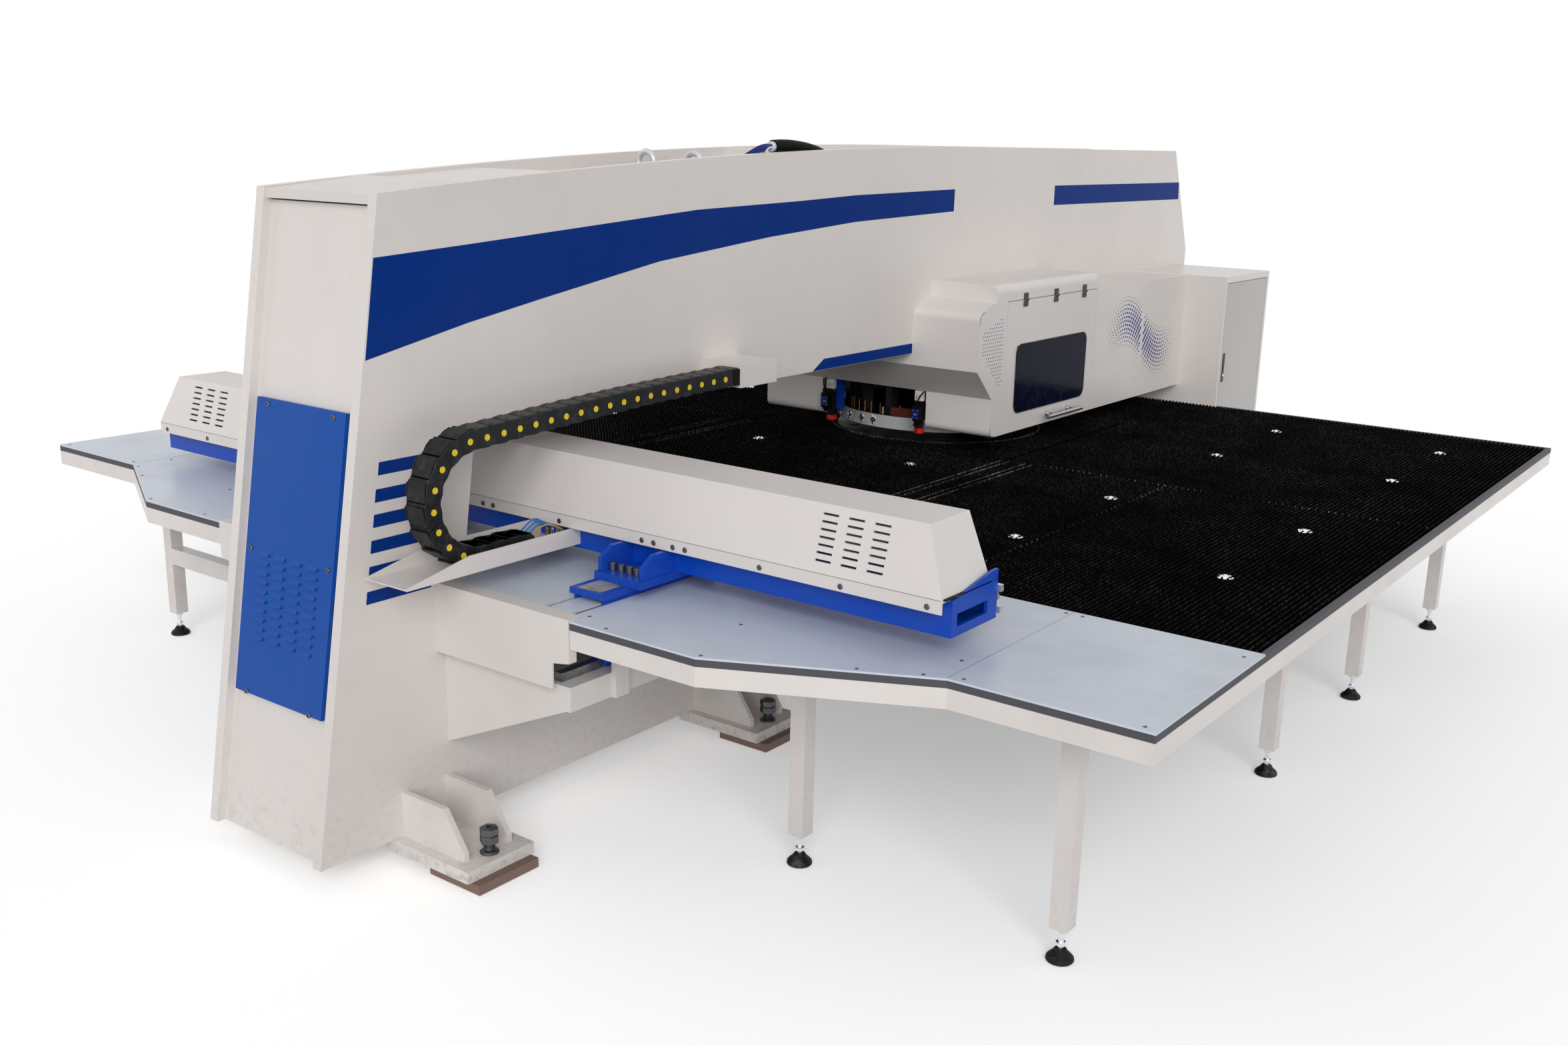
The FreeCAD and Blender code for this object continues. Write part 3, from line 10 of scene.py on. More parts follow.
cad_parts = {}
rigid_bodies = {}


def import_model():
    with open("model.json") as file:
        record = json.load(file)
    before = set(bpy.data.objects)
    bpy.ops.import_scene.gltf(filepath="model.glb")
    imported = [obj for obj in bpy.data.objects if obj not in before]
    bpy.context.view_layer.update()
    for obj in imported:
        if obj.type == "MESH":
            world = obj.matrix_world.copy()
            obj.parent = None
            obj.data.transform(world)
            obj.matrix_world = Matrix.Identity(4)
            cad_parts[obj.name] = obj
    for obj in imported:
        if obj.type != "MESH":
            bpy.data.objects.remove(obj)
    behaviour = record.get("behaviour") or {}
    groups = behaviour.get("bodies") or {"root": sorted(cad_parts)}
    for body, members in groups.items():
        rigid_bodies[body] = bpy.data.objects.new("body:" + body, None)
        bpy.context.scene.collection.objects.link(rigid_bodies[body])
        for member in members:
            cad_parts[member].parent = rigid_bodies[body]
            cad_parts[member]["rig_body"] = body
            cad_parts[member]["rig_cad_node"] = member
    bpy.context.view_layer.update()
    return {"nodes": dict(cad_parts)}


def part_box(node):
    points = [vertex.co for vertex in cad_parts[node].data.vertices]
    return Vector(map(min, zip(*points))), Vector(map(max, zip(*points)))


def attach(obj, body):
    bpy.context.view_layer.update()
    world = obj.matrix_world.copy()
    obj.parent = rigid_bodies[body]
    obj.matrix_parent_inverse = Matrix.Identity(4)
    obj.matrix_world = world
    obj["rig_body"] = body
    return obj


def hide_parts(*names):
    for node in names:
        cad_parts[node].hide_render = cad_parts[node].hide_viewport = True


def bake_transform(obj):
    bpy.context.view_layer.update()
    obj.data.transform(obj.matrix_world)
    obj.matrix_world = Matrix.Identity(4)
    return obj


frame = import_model()

bl_info = {
    "name": "CNC turret punch press",
    "version": (1, 0, 0),
    "blender": (4, 5, 0),
    "location": "3D View > Sidebar > Punch press",
    "description": "Adds the fine parts and finishes of a turret punch press to its CAD frame",
    "category": "Object",
}

# Heights from which rays look down on the table and on the whole machine.
ABOVE_TABLE, ABOVE_ALL = 2.0, 3.0
# Sizes of the CAD frame that the fine parts sit on, in metres.
FRAME_SIDE = 0.294
TABLE_TOP = 0.890
BRUSH_BASE = 0.872
TUFT_TOP = 0.888
TUFT_ROOM, BALL_ROOM, SLAB_STEP = 0.009, 0.021, 0.003
TURRET_CENTRE = Vector((0.0, 0.820, 0.0))
TURRET_HOLE = 0.520
TURRET_RADIUS = 0.500
RING_HEIGHT, PIN_FOOT = 0.963, 0.995
HOOD_SIDE = 0.640
DOOR_SIDE = 0.644
CABINET_SIDE = 0.875
BEAM_FRONT = -2.307
TRAVEL = 2.100
CHAIN_X = 0.4315
BEND_Y, BEND_Z, BEND_RADIUS = -2.677, 1.192, 0.185
BEND_FIRST, BEND_STEP = math.radians(10.6), math.radians(20.8)
CHAIN_START = Vector((CHAIN_X, -1.416, 1.427))
CHAIN_BOW = 0.009
LINK_SHIFT, LINK_STACK = 0.0003, 6
UPPER_LINKS, BEND_LINKS, LOWER_LINKS = 19, 8, 18
LEG_SPOTS = ((2.252, -2.100), (1.314, -2.100), (2.252, -0.399), (2.252, 0.643), (2.252, 1.889))
BOLT_SPOTS = tuple((x, y) for x in (-0.590, 0.590) for y in (-2.780, -1.331, 2.880))
BALL_ROWS = {-0.912: (1.404, 2.204), -0.098: (0.430, 1.404, 2.204), 1.064: (1.404, 2.204), 1.872: (1.404, 2.204)}
SIDES = ((1, "right"), (-1, "left"))


def shade(*card):
    """A colour as a paint card gives it, in the linear values that Blender keeps."""
    parts = [value / 255 for value in card]
    return tuple(part / 12.92 if part <= 0.04045 else ((part + 0.055) / 1.055) ** 2.4 for part in parts)


def colour(label, about, red, green, blue):
    """A colour setting."""
    return bpy.props.FloatVectorProperty(
        name=label, description=about, subtype="COLOR", size=3, min=0, max=1, default=shade(red, green, blue)
    )


def length(label, about, default):
    """A length setting in metres."""
    return bpy.props.FloatProperty(
        name=label, description=about, default=default, min=0.0001, subtype="DISTANCE", unit="LENGTH"
    )


class PressColours(bpy.types.PropertyGroup):
    """Colours of the press."""

    white_coat: colour("White coat", "Powder coat of the frame, covers and table", 224, 218, 214)
    # The white coat greyed as painted shade, where less light reaches the cabinet's door.
    shaded_door_coat: colour("Door coat", "Greyer powder coat of the cabinet's door", 184, 181, 178)
    sheet_coat: colour("Sheet coat", "Pale blue film on the front table sheets", 206, 214, 227)
    blue_coat: colour("Blue coat", "Paint of the beam and its saddles", 6, 70, 182)
    panel_blue: colour("Panel blue", "Paint of the louvred panel", 6, 76, 164)
    livery_blue: colour("Livery blue", "Film of the stripes on the side plates", 5, 50, 130)
    dot_blue: colour("Dot blue", "Print of the dots on the cover", 22, 34, 138)
    dust: colour("Dust", "Dust and handling marks", 150, 142, 134)
    rust: colour("Rust", "Rust on the steel pads", 40, 25, 18)
    steel: colour("Steel", "Bare machined steel", 176, 178, 180)
    chrome: colour("Chrome", "Polished plating", 212, 213, 216)
    black_steel: colour("Black steel", "Blackened bolts", 30, 29, 28)
    # The foot colour holds painted shade deep among the tufts. The tip colours hold painted light on the tips as well
    # as wear.
    bristle: colour("Bristle", "Brush tufts at their foot", 5, 5, 6)
    edge_tip_light_and_wear: colour("Edge tip", "Tips of the close rows along the openings", 188, 184, 176)
    bristle_tip_light_and_wear: colour("Bristle tip", "Brush tufts at their worn tip", 74, 72, 70)
    link_black: colour("Link black", "Moulded energy chain", 27, 29, 31)
    cap_yellow: colour("Cap yellow", "Pivot caps of the energy chain", 226, 196, 48)
    rubber: colour("Rubber", "Feet, seals, hoses and black plastic", 15, 15, 16)
    glass: colour("Glass", "Dark window of the cover", 14, 18, 40)
    guard_red: colour("Guard red", "Dull red guard on the turret", 88, 34, 26)
    red_part: colour("Red part", "Stops beside the turret", 206, 34, 28)
    hose_blue: colour("Hose blue", "Air tubes", 38, 120, 205)
    drive_blue: colour("Drive blue", "Block of the striker drive, sensor faces and wires", 12, 34, 110)
    brass: colour("Brass", "Pins and fittings", 186, 146, 74)


class PressSizes(bpy.types.PropertyGroup):
    """Sizes of the fine parts."""

    tuft_pitch: length("Tuft pitch", "Distance between two brush tufts", 0.020)
    tuft_foot: length("Tuft foot", "Half width of a tuft at its foot", 0.0062)
    tuft_tip: length("Tuft tip", "Half width of a tuft at its tip", 0.0040)
    film: length("Film", "Thickness of a stripe or a printed dot", 0.0005)
    link_width: length("Link width", "Width of the energy chain", 0.097)
    link_height: length("Link height", "Height of the energy chain", 0.063)
    cap_radius: length("Cap radius", "Radius of a pivot cap", 0.0105)
    screw_radius: length("Screw radius", "Radius of a cover screw's head", 0.009)
    ball_radius: length("Ball radius", "Radius of a table ball", 0.013)
    hose_radius: length("Hose radius", "Radius of an air tube", 0.003)


# ---------------------------------------------------------------- modelling helpers


def clear():
    """Leaves nothing selected, because an operator acts on all that is."""
    if bpy.context.mode != "OBJECT":
        bpy.ops.object.mode_set(mode="OBJECT")
    bpy.ops.object.select_all(action="DESELECT")


def pick(piece):
    """Makes one piece the only selected and the active one."""
    clear()
    piece.select_set(True)
    bpy.context.view_layer.objects.active = piece


def settle(name):
    """Names the new piece and puts its place, turn and size into its mesh."""
    piece = bpy.context.active_object
    bpy.ops.object.transform_apply(location=True, rotation=True, scale=True)
    piece.name = piece.data.name = name
    return piece


def opened(name, kind="FACE"):
    """Settles the new piece and goes into edit mode with all of it selected."""
    piece = settle(name)
    bpy.ops.object.mode_set(mode="EDIT")
    bpy.ops.mesh.select_mode(type=kind)
    bpy.ops.mesh.select_all(action="SELECT")
    return piece


def done():
    """Leaves edit mode with the faces pointing outwards."""
    bpy.ops.mesh.select_all(action="SELECT")
    bpy.ops.mesh.normals_make_consistent(inside=False)
    bpy.ops.object.mode_set(mode="OBJECT")


def soften(piece, width, steps=2):
    """Rounds the edges of a piece."""
    pick(piece)
    edge = piece.modifiers.new("soft_edges", "BEVEL")
    edge.width, edge.segments = width, steps
    edge.limit_method, edge.angle_limit = "ANGLE", math.radians(30)
    bpy.ops.object.modifier_apply(modifier=edge.name)
    return piece


def smooth(piece, degrees=35):
    """Shades round faces smooth and keeps sharp corners."""
    pick(piece)
    bpy.ops.object.shade_smooth_by_angle(angle=math.radians(degrees))
    return piece


def block(name, low, high, soft=0.001, steps=1):
    """A bar or plate between two corners, with its edges broken."""
    clear()
    size = [b - a for a, b in zip(low, high)]
    bpy.ops.mesh.primitive_cube_add(size=1, location=[(a + b) / 2 for a, b in zip(low, high)], scale=size)
    return soften(settle(name), min(soft, min(size) * 0.3), steps)


def turned(name, rings, sides=24, place=(0, 0, 0), turn=(0, 0, 0)):
    """A turned part, raised ring by ring from (radius, height) pairs."""
    clear()
    radius, height = rings[0]
    bpy.ops.mesh.primitive_circle_add(vertices=sides, radius=radius, fill_type="NGON", location=(0, 0, height))
    piece = opened(name)
    for wide, high in rings[1:]:
        bpy.ops.mesh.extrude_region_move(TRANSFORM_OT_translate={"value": (0, 0, high - height)})
        if wide != radius:
            bpy.ops.transform.resize(value=(wide / radius, wide / radius, 1))
        radius, height = wide, high
    done()
    piece.location, piece.rotation_euler = place, turn
    return smooth(settle(name))


def rod(name, start, end, radius, sides=16):
    """A round bar from one point to another with chamfered ends."""
    start, end = Vector(start), Vector(end)
    long, edge = (end - start).length, radius * 0.18
    rings = [(radius - edge, 0), (radius, edge), (radius, long - edge), (radius - edge, long)]
    return turned(name, rings, sides, start, (end - start).to_track_quat("Z", "Y").to_euler())


def cut_plate(name, outline, side, thick):
    """A flat shape standing across X: an outline of (y, z) points, from side outwards by thick."""
    clear()
    bpy.ops.mesh.primitive_circle_add(vertices=len(outline), radius=1, fill_type="NGON")
    piece = opened(name, "VERT")
    for index, (y, z) in enumerate(outline):
        bpy.ops.mesh.select_all(action="DESELECT")
        work = bmesh.from_edit_mesh(piece.data)
        work.verts.ensure_lookup_table()
        point = work.verts[index]
        point.select_set(True)
        move = Vector((side, y, z)) - point.co
        bmesh.update_edit_mesh(piece.data)
        bpy.ops.transform.translate(value=move)
    return thickened(piece, thick)


def thickened(piece, thick):
    """Draws the flat piece that is open out across X into a plate."""
    bpy.ops.mesh.select_mode(type="FACE")
    bpy.ops.mesh.select_all(action="SELECT")
    bpy.ops.mesh.extrude_region_move(TRANSFORM_OT_translate={"value": (thick, 0, 0)})
    done()
    return piece


def hose(name, points, radius, sides=3):
    """A short fixed tube along a smooth route."""
    clear()
    bpy.ops.curve.primitive_nurbs_path_add(location=(0, 0, 0))
    route = bpy.context.active_object
    spline = route.data.splines[0]
    spline.points.add(max(0, len(points) - len(spline.points)))
    for index, knot in enumerate(spline.points):
        knot.co = (*points[min(index, len(points) - 1)], 1)
    spline.order_u, spline.use_endpoint_u, spline.resolution_u = 4, True, 8
    route.data.bevel_depth, route.data.bevel_resolution, route.data.use_fill_caps = radius, sides, True
    bpy.ops.object.convert(target="MESH")
    return smooth(settle(name), 60)


def moved(x=0.0, y=0.0, z=0.0):
    """A plain shift."""
    return Matrix.Translation((x, y, z))


def mirrored(spots, z=0.0):
    """Shifts to (x, y) spots of the right side and to their mirror images."""
    return [moved(side * x, y, z) for x, y in spots for side in (1, -1)]


def copies(name, piece, places):
    """Copies a finished part to each place, every copy with its own mesh, and joins them."""
    row = []
    for place in places:
        twin = piece.copy()
        twin.data = piece.data.copy()
        twin.data.transform(place)
        if place.determinant() < 0:
            twin.data.flip_normals()
        bpy.context.collection.objects.link(twin)
        row.append(twin)
    bpy.data.objects.remove(piece)
    return joined(name, row)


def joined(name, parts):
    """Joins parts into one piece."""
    clear()
    for part in parts:
        part.select_set(True)
    whole = bpy.context.view_layer.objects.active = parts[0]
    if len(parts) > 1:
        bpy.ops.object.join()
    whole.name = whole.data.name = name
    return whole


def placed(piece, place):
    """Moves a finished part by its mesh."""
    piece.data.transform(place)
    return piece


def flipped(side):
    """The machine's right side as it is, or its mirror image on the left."""
    return Matrix.Scale(side, 4, (1, 0, 0))


def both_sides(name, *parts):
    """Parts as one piece together with its mirror image across the machine."""
    piece = joined(name, parts) if len(parts) > 1 else parts[0]
    return copies(name, piece, [Matrix.Identity(4), flipped(-1)])


def painted(piece, finish):
    """Gives a part its finish."""
    piece.data.materials.clear()
    piece.data.materials.append(finish_named(finish))
    return piece


def mount(piece, body, finish=None, stands_for=()):
    """Puts a finished piece on its body."""
    if finish:
        painted(piece, finish)
    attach(piece, body)
    if stands_for:
        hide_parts(*stands_for)
    return piece


# ---------------------------------------------------------------- finishes


def node(tree, kind, values=None, **settings):
    """Adds a node, sets it and fills its inputs with numbers or links."""
    made = tree.nodes.new(kind)
    for key, value in settings.items():
        setattr(made, key, value)
    for key, value in (values or {}).items():
        if isinstance(value, bpy.types.NodeSocket):
            tree.links.new(value, made.inputs[key])
        else:
            made.inputs[key].default_value = value
    return made


def calculate(tree, operation, first, second=0.0, third=0.0, clamp=False):
    """One step of arithmetic."""
    values = {0: first, 1: second}
    if operation == "MULTIPLY_ADD":
        values[2] = third
    return node(tree, "ShaderNodeMath", values, operation=operation, use_clamp=clamp).outputs[0]


def blend_colour(tree, amount, first, second):
    """Mixes two colours."""
    return node(tree, "ShaderNodeMix", {0: amount, 6: first, 7: second}, data_type="RGBA").outputs[2]


def spread(tree, value, low, high, new_low=0.0, new_high=1.0):
    """Stretches a band of values to another band, held at its ends."""
    values = {"Value": value, "From Min": low, "From Max": high, "To Min": new_low, "To Max": new_high}
    return node(tree, "ShaderNodeMapRange", values).outputs["Result"]


def noise(tree, place, scale, detail=2.0, roughness=0.5):
    """Cloudy noise."""
    values = {"Vector": place, "Scale": scale, "Detail": detail, "Roughness": roughness}
    return node(tree, "ShaderNodeTexNoise", values).outputs["Fac"]


def new_group(name, inputs):
    """An empty shader group: its inputs with their first values, none for a colour, and its three outputs."""
    tree = bpy.data.node_groups.new(name, "ShaderNodeTree")
    kinds = {type(None): "NodeSocketColor", float: "NodeSocketFloat", tuple: "NodeSocketVector"}
    for label, default in inputs.items():
        socket = tree.interface.new_socket(label, in_out="INPUT", socket_type=kinds[type(default)])
        if default is not None:
            socket.default_value = default
    for label, kind in (("Colour", "Color"), ("Roughness", "Float"), ("Height", "Float")):
        tree.interface.new_socket(label, in_out="OUTPUT", socket_type="NodeSocket" + kind)
    entry = tree.nodes.new("NodeGroupInput")
    leave = tree.nodes.new("NodeGroupOutput")
    place = node(tree, "ShaderNodeTexCoord").outputs["Object"]
    return tree, entry.outputs, leave.inputs, place


def lead_out(tree, out, **values):
    """Links what a group works out to its outputs and gives the finished group."""
    for label, value in values.items():
        tree.links.new(value, out[label])
    return tree


def height_of(tree, place):
    """Height above the floor."""
    return node(tree, "ShaderNodeSeparateXYZ", {0: place}).outputs["Z"]


def stretched(tree, place, factors):
    """A place with each axis stretched by its own factor."""
    return node(tree, "ShaderNodeVectorMath", {0: place, 1: factors}, operation="MULTIPLY").outputs[0]


def coat_group():
    """Sprayed coat: orange peel, cloudy tone and dust that gathers in patches and near the floor."""
    inputs = {"Colour": None, "Dust colour": None, "Dust": 0.1, "Patch scale": 1.2, "Peel scale": 420.0}
    inputs |= {"Gloss": 0.35, "Floor grime": 0.0, "Grime height": 0.42}
    tree, given, out, place = new_group("sprayed_coat", inputs)
    cloud = noise(tree, place, given["Patch scale"], 4.0, 0.6)
    patches = spread(tree, cloud, 0.46, 0.72)
    wipe = noise(tree, place, 9.0, 3.0, 0.65)
    smears = spread(tree, wipe, 0.52, 0.78)
    near_floor = spread(tree, height_of(tree, place), 0.0, given["Grime height"], 1.0, 0.0)
    speck = spread(tree, noise(tree, place, 34.0, 5.0, 0.7), 0.50, 0.66)
    grime = calculate(tree, "MULTIPLY", calculate(tree, "MULTIPLY", near_floor, speck), given["Floor grime"])
    dust = calculate(tree, "MULTIPLY", calculate(tree, "MULTIPLY_ADD", smears, 0.5, patches), given["Dust"])
    amount = calculate(tree, "ADD", dust, grime, clamp=True)
    tone = blend_colour(tree, spread(tree, cloud, 0.3, 0.7, 0.0, 0.06), given["Colour"], (0, 0, 0, 1))
    return lead_out(
        tree,
        out,
        Colour=blend_colour(tree, amount, tone, given["Dust colour"]),
        Roughness=calculate(tree, "MULTIPLY_ADD", amount, 0.3, given["Gloss"]),
        Height=noise(tree, place, given["Peel scale"], 1.0),
    )


def grain_group():
    """Machined metal: fine lines along one way, with oily darker areas."""
    inputs = {"Colour": None, "Dark": None, "Stretch": (30.0, 400.0, 400.0), "Depth": 0.3, "Stain": 0.3, "Gloss": 0.3}
    tree, given, out, place = new_group("machined_grain", inputs)
    lines = noise(tree, stretched(tree, place, given["Stretch"]), 1.0, 3.0, 0.6)
    stain = spread(tree, noise(tree, place, 14.0, 4.0, 0.6), 0.48, 0.72)
    shadowed = calculate(tree, "MULTIPLY", stain, given["Stain"])
    dark = calculate(tree, "MULTIPLY_ADD", lines, given["Depth"], shadowed, clamp=True)
    return lead_out(
        tree,
        out,
        Colour=blend_colour(tree, dark, given["Colour"], given["Dark"]),
        Roughness=calculate(tree, "MULTIPLY_ADD", dark, 0.4, given["Gloss"]),
        Height=lines,
    )


def mould_group():
    """Moulded plastic or rubber: fine matt grain with rubbed pale spots."""
    inputs = {"Colour": None, "Rub colour": None, "Rub": 0.2, "Grain scale": 900.0, "Gloss": 0.45}
    tree, given, out, place = new_group("moulded_grain", inputs)
    rubbed = spread(tree, noise(tree, place, 24.0, 4.0, 0.65), 0.50, 0.74)
    amount = calculate(tree, "MULTIPLY", rubbed, given["Rub"])
    return lead_out(
        tree,
        out,
        Colour=blend_colour(tree, amount, given["Colour"], given["Rub colour"]),
        Roughness=calculate(tree, "MULTIPLY_ADD", rubbed, 0.15, given["Gloss"]),
        Height=noise(tree, place, given["Grain scale"], 2.0),
    )


def bristle_group():
    """Brush tufts: dark at the foot with painted shade, paler at the tip with painted light and wear, no two tufts
    quite alike.
    """
    inputs = {"Foot": None, "Tip": None, "Foot height": 0.874, "Tip height": 0.888}
    tree, given, out, place = new_group("bristle_shade_light_and_wear", inputs)
    # Painted shade and light: tufts darken from the tip down to the foot. The pale tip is partly wear.
    rise = spread(tree, height_of(tree, place), given["Foot height"], given["Tip height"])
    steep = calculate(tree, "POWER", rise, 3.0)
    patchy = spread(tree, noise(tree, place, 3.0, 4.0, 0.6), 0.35, 0.7, 0.15, 1.0)
    single = spread(tree, noise(tree, place, 55.0, 1.0), 0.42, 0.70, 0.15, 1.0)
    # worn carries painted light on the tips as well as wear.
    worn = calculate(tree, "MULTIPLY", calculate(tree, "MULTIPLY", steep, patchy), single)
    return lead_out(
        tree,
        out,
        Colour=blend_colour(tree, worn, given["Foot"], given["Tip"]),
        Roughness=calculate(tree, "MULTIPLY_ADD", patchy, 0.2, 0.45),
        Height=noise(tree, stretched(tree, place, (900.0, 900.0, 40.0)), 1.0, 1.0),
    )


def hue(name):
    """A colour setting, fully opaque."""
    return (*getattr(bpy.context.scene.press_colours, name), 1)


def surface(name, kind, inputs, bump, metallic=0.0, specular=0.5):
    """A material whose colour, roughness and relief come from one of the groups, each built once."""
    group = bpy.data.node_groups.get(kind) or GROUPS[kind]()
    made = bpy.data.materials.new(name)
    made.use_nodes = True
    tree = made.node_tree
    skin = tree.nodes["Principled BSDF"]
    effect = node(tree, "ShaderNodeGroup", node_tree=group)
    for key, value in inputs.items():
        effect.inputs[key].default_value = value
    relief = node(tree, "ShaderNodeBump", {"Height": effect.outputs["Height"], "Distance": 0.001, "Strength": bump})
    tree.links.new(effect.outputs["Colour"], skin.inputs["Base Color"])
    tree.links.new(effect.outputs["Roughness"], skin.inputs["Roughness"])
    tree.links.new(relief.outputs["Normal"], skin.inputs["Normal"])
    skin.inputs["Metallic"].default_value = metallic
    skin.inputs["Specular IOR Level"].default_value = specular
    made.diffuse_color = (*inputs.get("Colour", inputs.get("Foot", (1, 1, 1, 1)))[:3], 1)
    return made


def coat(
    name,
    tint,
    dust=0.06,
    gloss=0.32,
    patch=1.1,
    grime=0.0,
    grime_height=0.42,
    bump=0.04,
    dust_tint="dust",
    specular=0.5,
):
    """A sprayed or printed coat."""
    values = {"Colour": hue(tint), "Dust colour": hue(dust_tint), "Dust": dust, "Patch scale": patch, "Gloss": gloss}
    values |= {"Floor grime": grime, "Grime height": grime_height}
    return surface(name, "sprayed_coat", values, bump, specular=specular)


def metal(name, tint, stretch, depth=0.3, stain=0.3, gloss=0.28, metallic=1.0, bump=0.06, specular=0.5):
    """Bare, plated or blackened metal."""
    values = {"Colour": hue(tint), "Dark": hue("black_steel"), "Stretch": stretch, "Depth": depth, "Stain": stain}
    values["Gloss"] = gloss
    return surface(name, "machined_grain", values, bump, metallic, specular)


def moulding(name, tint, rub=0.15, gloss=0.42, bump=0.05, specular=0.2):
    """Moulded plastic, rubber or glass."""
    values = {"Colour": hue(tint), "Rub colour": hue("dust"), "Rub": rub, "Gloss": gloss}
    return surface(name, "moulded_grain", values, bump, specular=specular)


def bristles(name, tip, foot_height, tip_height):
    """Brush tufts or their base."""
    values = {"Foot": hue("bristle"), "Tip": hue(tip), "Foot height": foot_height, "Tip height": tip_height}
    return surface(name, "bristle_shade_light_and_wear", values, 0.1, specular=0.01)


GROUPS = {
    "sprayed_coat": coat_group,
    "machined_grain": grain_group,
    "moulded_grain": mould_group,
    "bristle_shade_light_and_wear": bristle_group,
}
# Every finish under the function that makes it.
FINISHES = {
    coat: {
        "white_coat": dict(tint="white_coat"),
        # Painted shade: the white coat greyed for the cabinet's door.
        "shaded_door_coat": dict(tint="shaded_door_coat"),
        "frame_coat": dict(tint="white_coat", dust=0.09, patch=0.6, grime=0.25),
        "foot_coat": dict(tint="white_coat", dust=0.10, patch=4.0, grime=1.0, grime_height=0.10, bump=0.1),
        "leg_coat": dict(tint="white_coat", dust=0.10, patch=2.5, grime=0.2),
        "sheet_coat": dict(tint="sheet_coat", dust=0.14, gloss=0.30, patch=3.0, bump=0.02),
        "blue_coat": dict(tint="blue_coat", dust=0.04, gloss=0.30, patch=2.0, bump=0.08, specular=0.25),
        "panel_coat": dict(tint="panel_blue", dust=0.03, gloss=0.34, patch=1.5, bump=0.06, specular=0.15),
        "livery_film": dict(tint="livery_blue", dust=0.02, gloss=0.26, patch=1.0, bump=0.01, specular=0.03),
        "dot_print": dict(tint="dot_blue", dust=0.03, gloss=0.25, patch=2.0, bump=0.01, specular=0.15),
        "guard_coat": dict(tint="guard_red", dust=0.08, gloss=0.4, patch=8.0, specular=0.2),
        "rusted_iron": dict(
            tint="rust", dust=0.4, gloss=0.8, patch=9.0, bump=0.5, dust_tint="black_steel", specular=0.02
        ),
        "drive_coat": dict(tint="drive_blue", dust=0.10, gloss=0.3, patch=5.0),
    },
    metal: {
        "machined_steel": dict(tint="steel", stretch=(30.0, 420.0, 420.0)),
        "ring_steel": dict(
            tint="chrome", stretch=(60.0, 60.0, 700.0), depth=0.08, stain=0.05, gloss=0.25, metallic=0.25
        ),
        "eye_steel": dict(tint="chrome", stretch=(90.0, 90.0, 90.0), depth=0.15, stain=0.2, gloss=0.4, metallic=0.4),
        # Partly blackened steel, partly painted shade deep under the cover and below the ring.
        "shaded_turret_steel": dict(
            tint="black_steel", stretch=(300.0, 300.0, 30.0), depth=0.4, stain=0.5, gloss=0.35, metallic=0.5
        ),
        "rail_steel": dict(tint="steel", stretch=(420.0, 30.0, 420.0), depth=0.35, stain=0.45),
        "punch_steel": dict(tint="steel", stretch=(300.0, 300.0, 30.0), depth=0.5, stain=0.7, gloss=0.34),
        "chrome": dict(tint="chrome", stretch=(90.0, 90.0, 90.0), depth=0.08, stain=0.08, gloss=0.10, bump=0.01),
        "black_steel": dict(
            tint="black_steel", stretch=(200.0, 200.0, 60.0), depth=0.2, gloss=0.50, metallic=0.0, specular=0.2
        ),
        "bar_steel": dict(tint="steel", stretch=(90.0, 90.0, 90.0), depth=0.3, stain=0.5, gloss=0.16, metallic=0.9),
        "worn_step": dict(tint="steel", stretch=(60.0, 60.0, 60.0), depth=0.4, stain=0.6, gloss=0.5, metallic=0.4),
        "brass": dict(tint="brass", stretch=(90.0, 90.0, 300.0), depth=0.2, stain=0.2),
    },
    moulding: {
        "hose_black": dict(tint="rubber", rub=0.05, gloss=0.50, specular=0.05),
        "chain_plastic": dict(tint="link_black", rub=0.10, gloss=0.38),
        "cap_plastic": dict(tint="cap_yellow", rub=0.08, gloss=0.40),
        "black_plastic": dict(tint="rubber", rub=0.12, gloss=0.40),
        # Black for the stops' stems, and painted shade for the chain's recess.
        "black_and_painted_shade": dict(tint="bristle", rub=0.02, gloss=0.8),
        "rubber": dict(tint="rubber", rub=0.30, gloss=0.60, bump=0.12),
        "red_plastic": dict(tint="red_part", rub=0.05, gloss=0.35),
        "hose_plastic": dict(tint="hose_blue", rub=0.05, gloss=0.25),
        "sensor_plastic": dict(tint="drive_blue", rub=0.10, gloss=0.35),
        "clear_tube": dict(tint="brass", rub=0.05, gloss=0.2),
        "socket_plastic": dict(tint="white_coat", rub=0.30, gloss=0.4),
        "sleeve_plastic": dict(tint="sheet_coat", rub=0.35, gloss=0.3),
        "wire_pale": dict(tint="white_coat", rub=0.20, gloss=0.35),
        "window_glass": dict(tint="glass", rub=0.02, gloss=0.12, bump=0.0, specular=0.035),
    },
    bristles: {
        # Tufts are dark at the foot with painted shade and pale at the tip with painted light and wear. The base takes
        # the foot colour all over.
        "bristle": dict(tip="bristle_tip_light_and_wear", foot_height=0.876, tip_height=0.8885),
        "edge_bristle": dict(tip="edge_tip_light_and_wear", foot_height=0.880, tip_height=0.890),
        "brush_base": dict(tip="bristle_tip_light_and_wear", foot_height=0.90, tip_height=0.95),
    },
}


def finish_named(name):
    """A finish, built once."""
    if name in bpy.data.materials:
        return bpy.data.materials[name]
    build = next(kind for kind, finishes in FINISHES.items() if name in finishes)
    return build(name, **FINISHES[build][name])


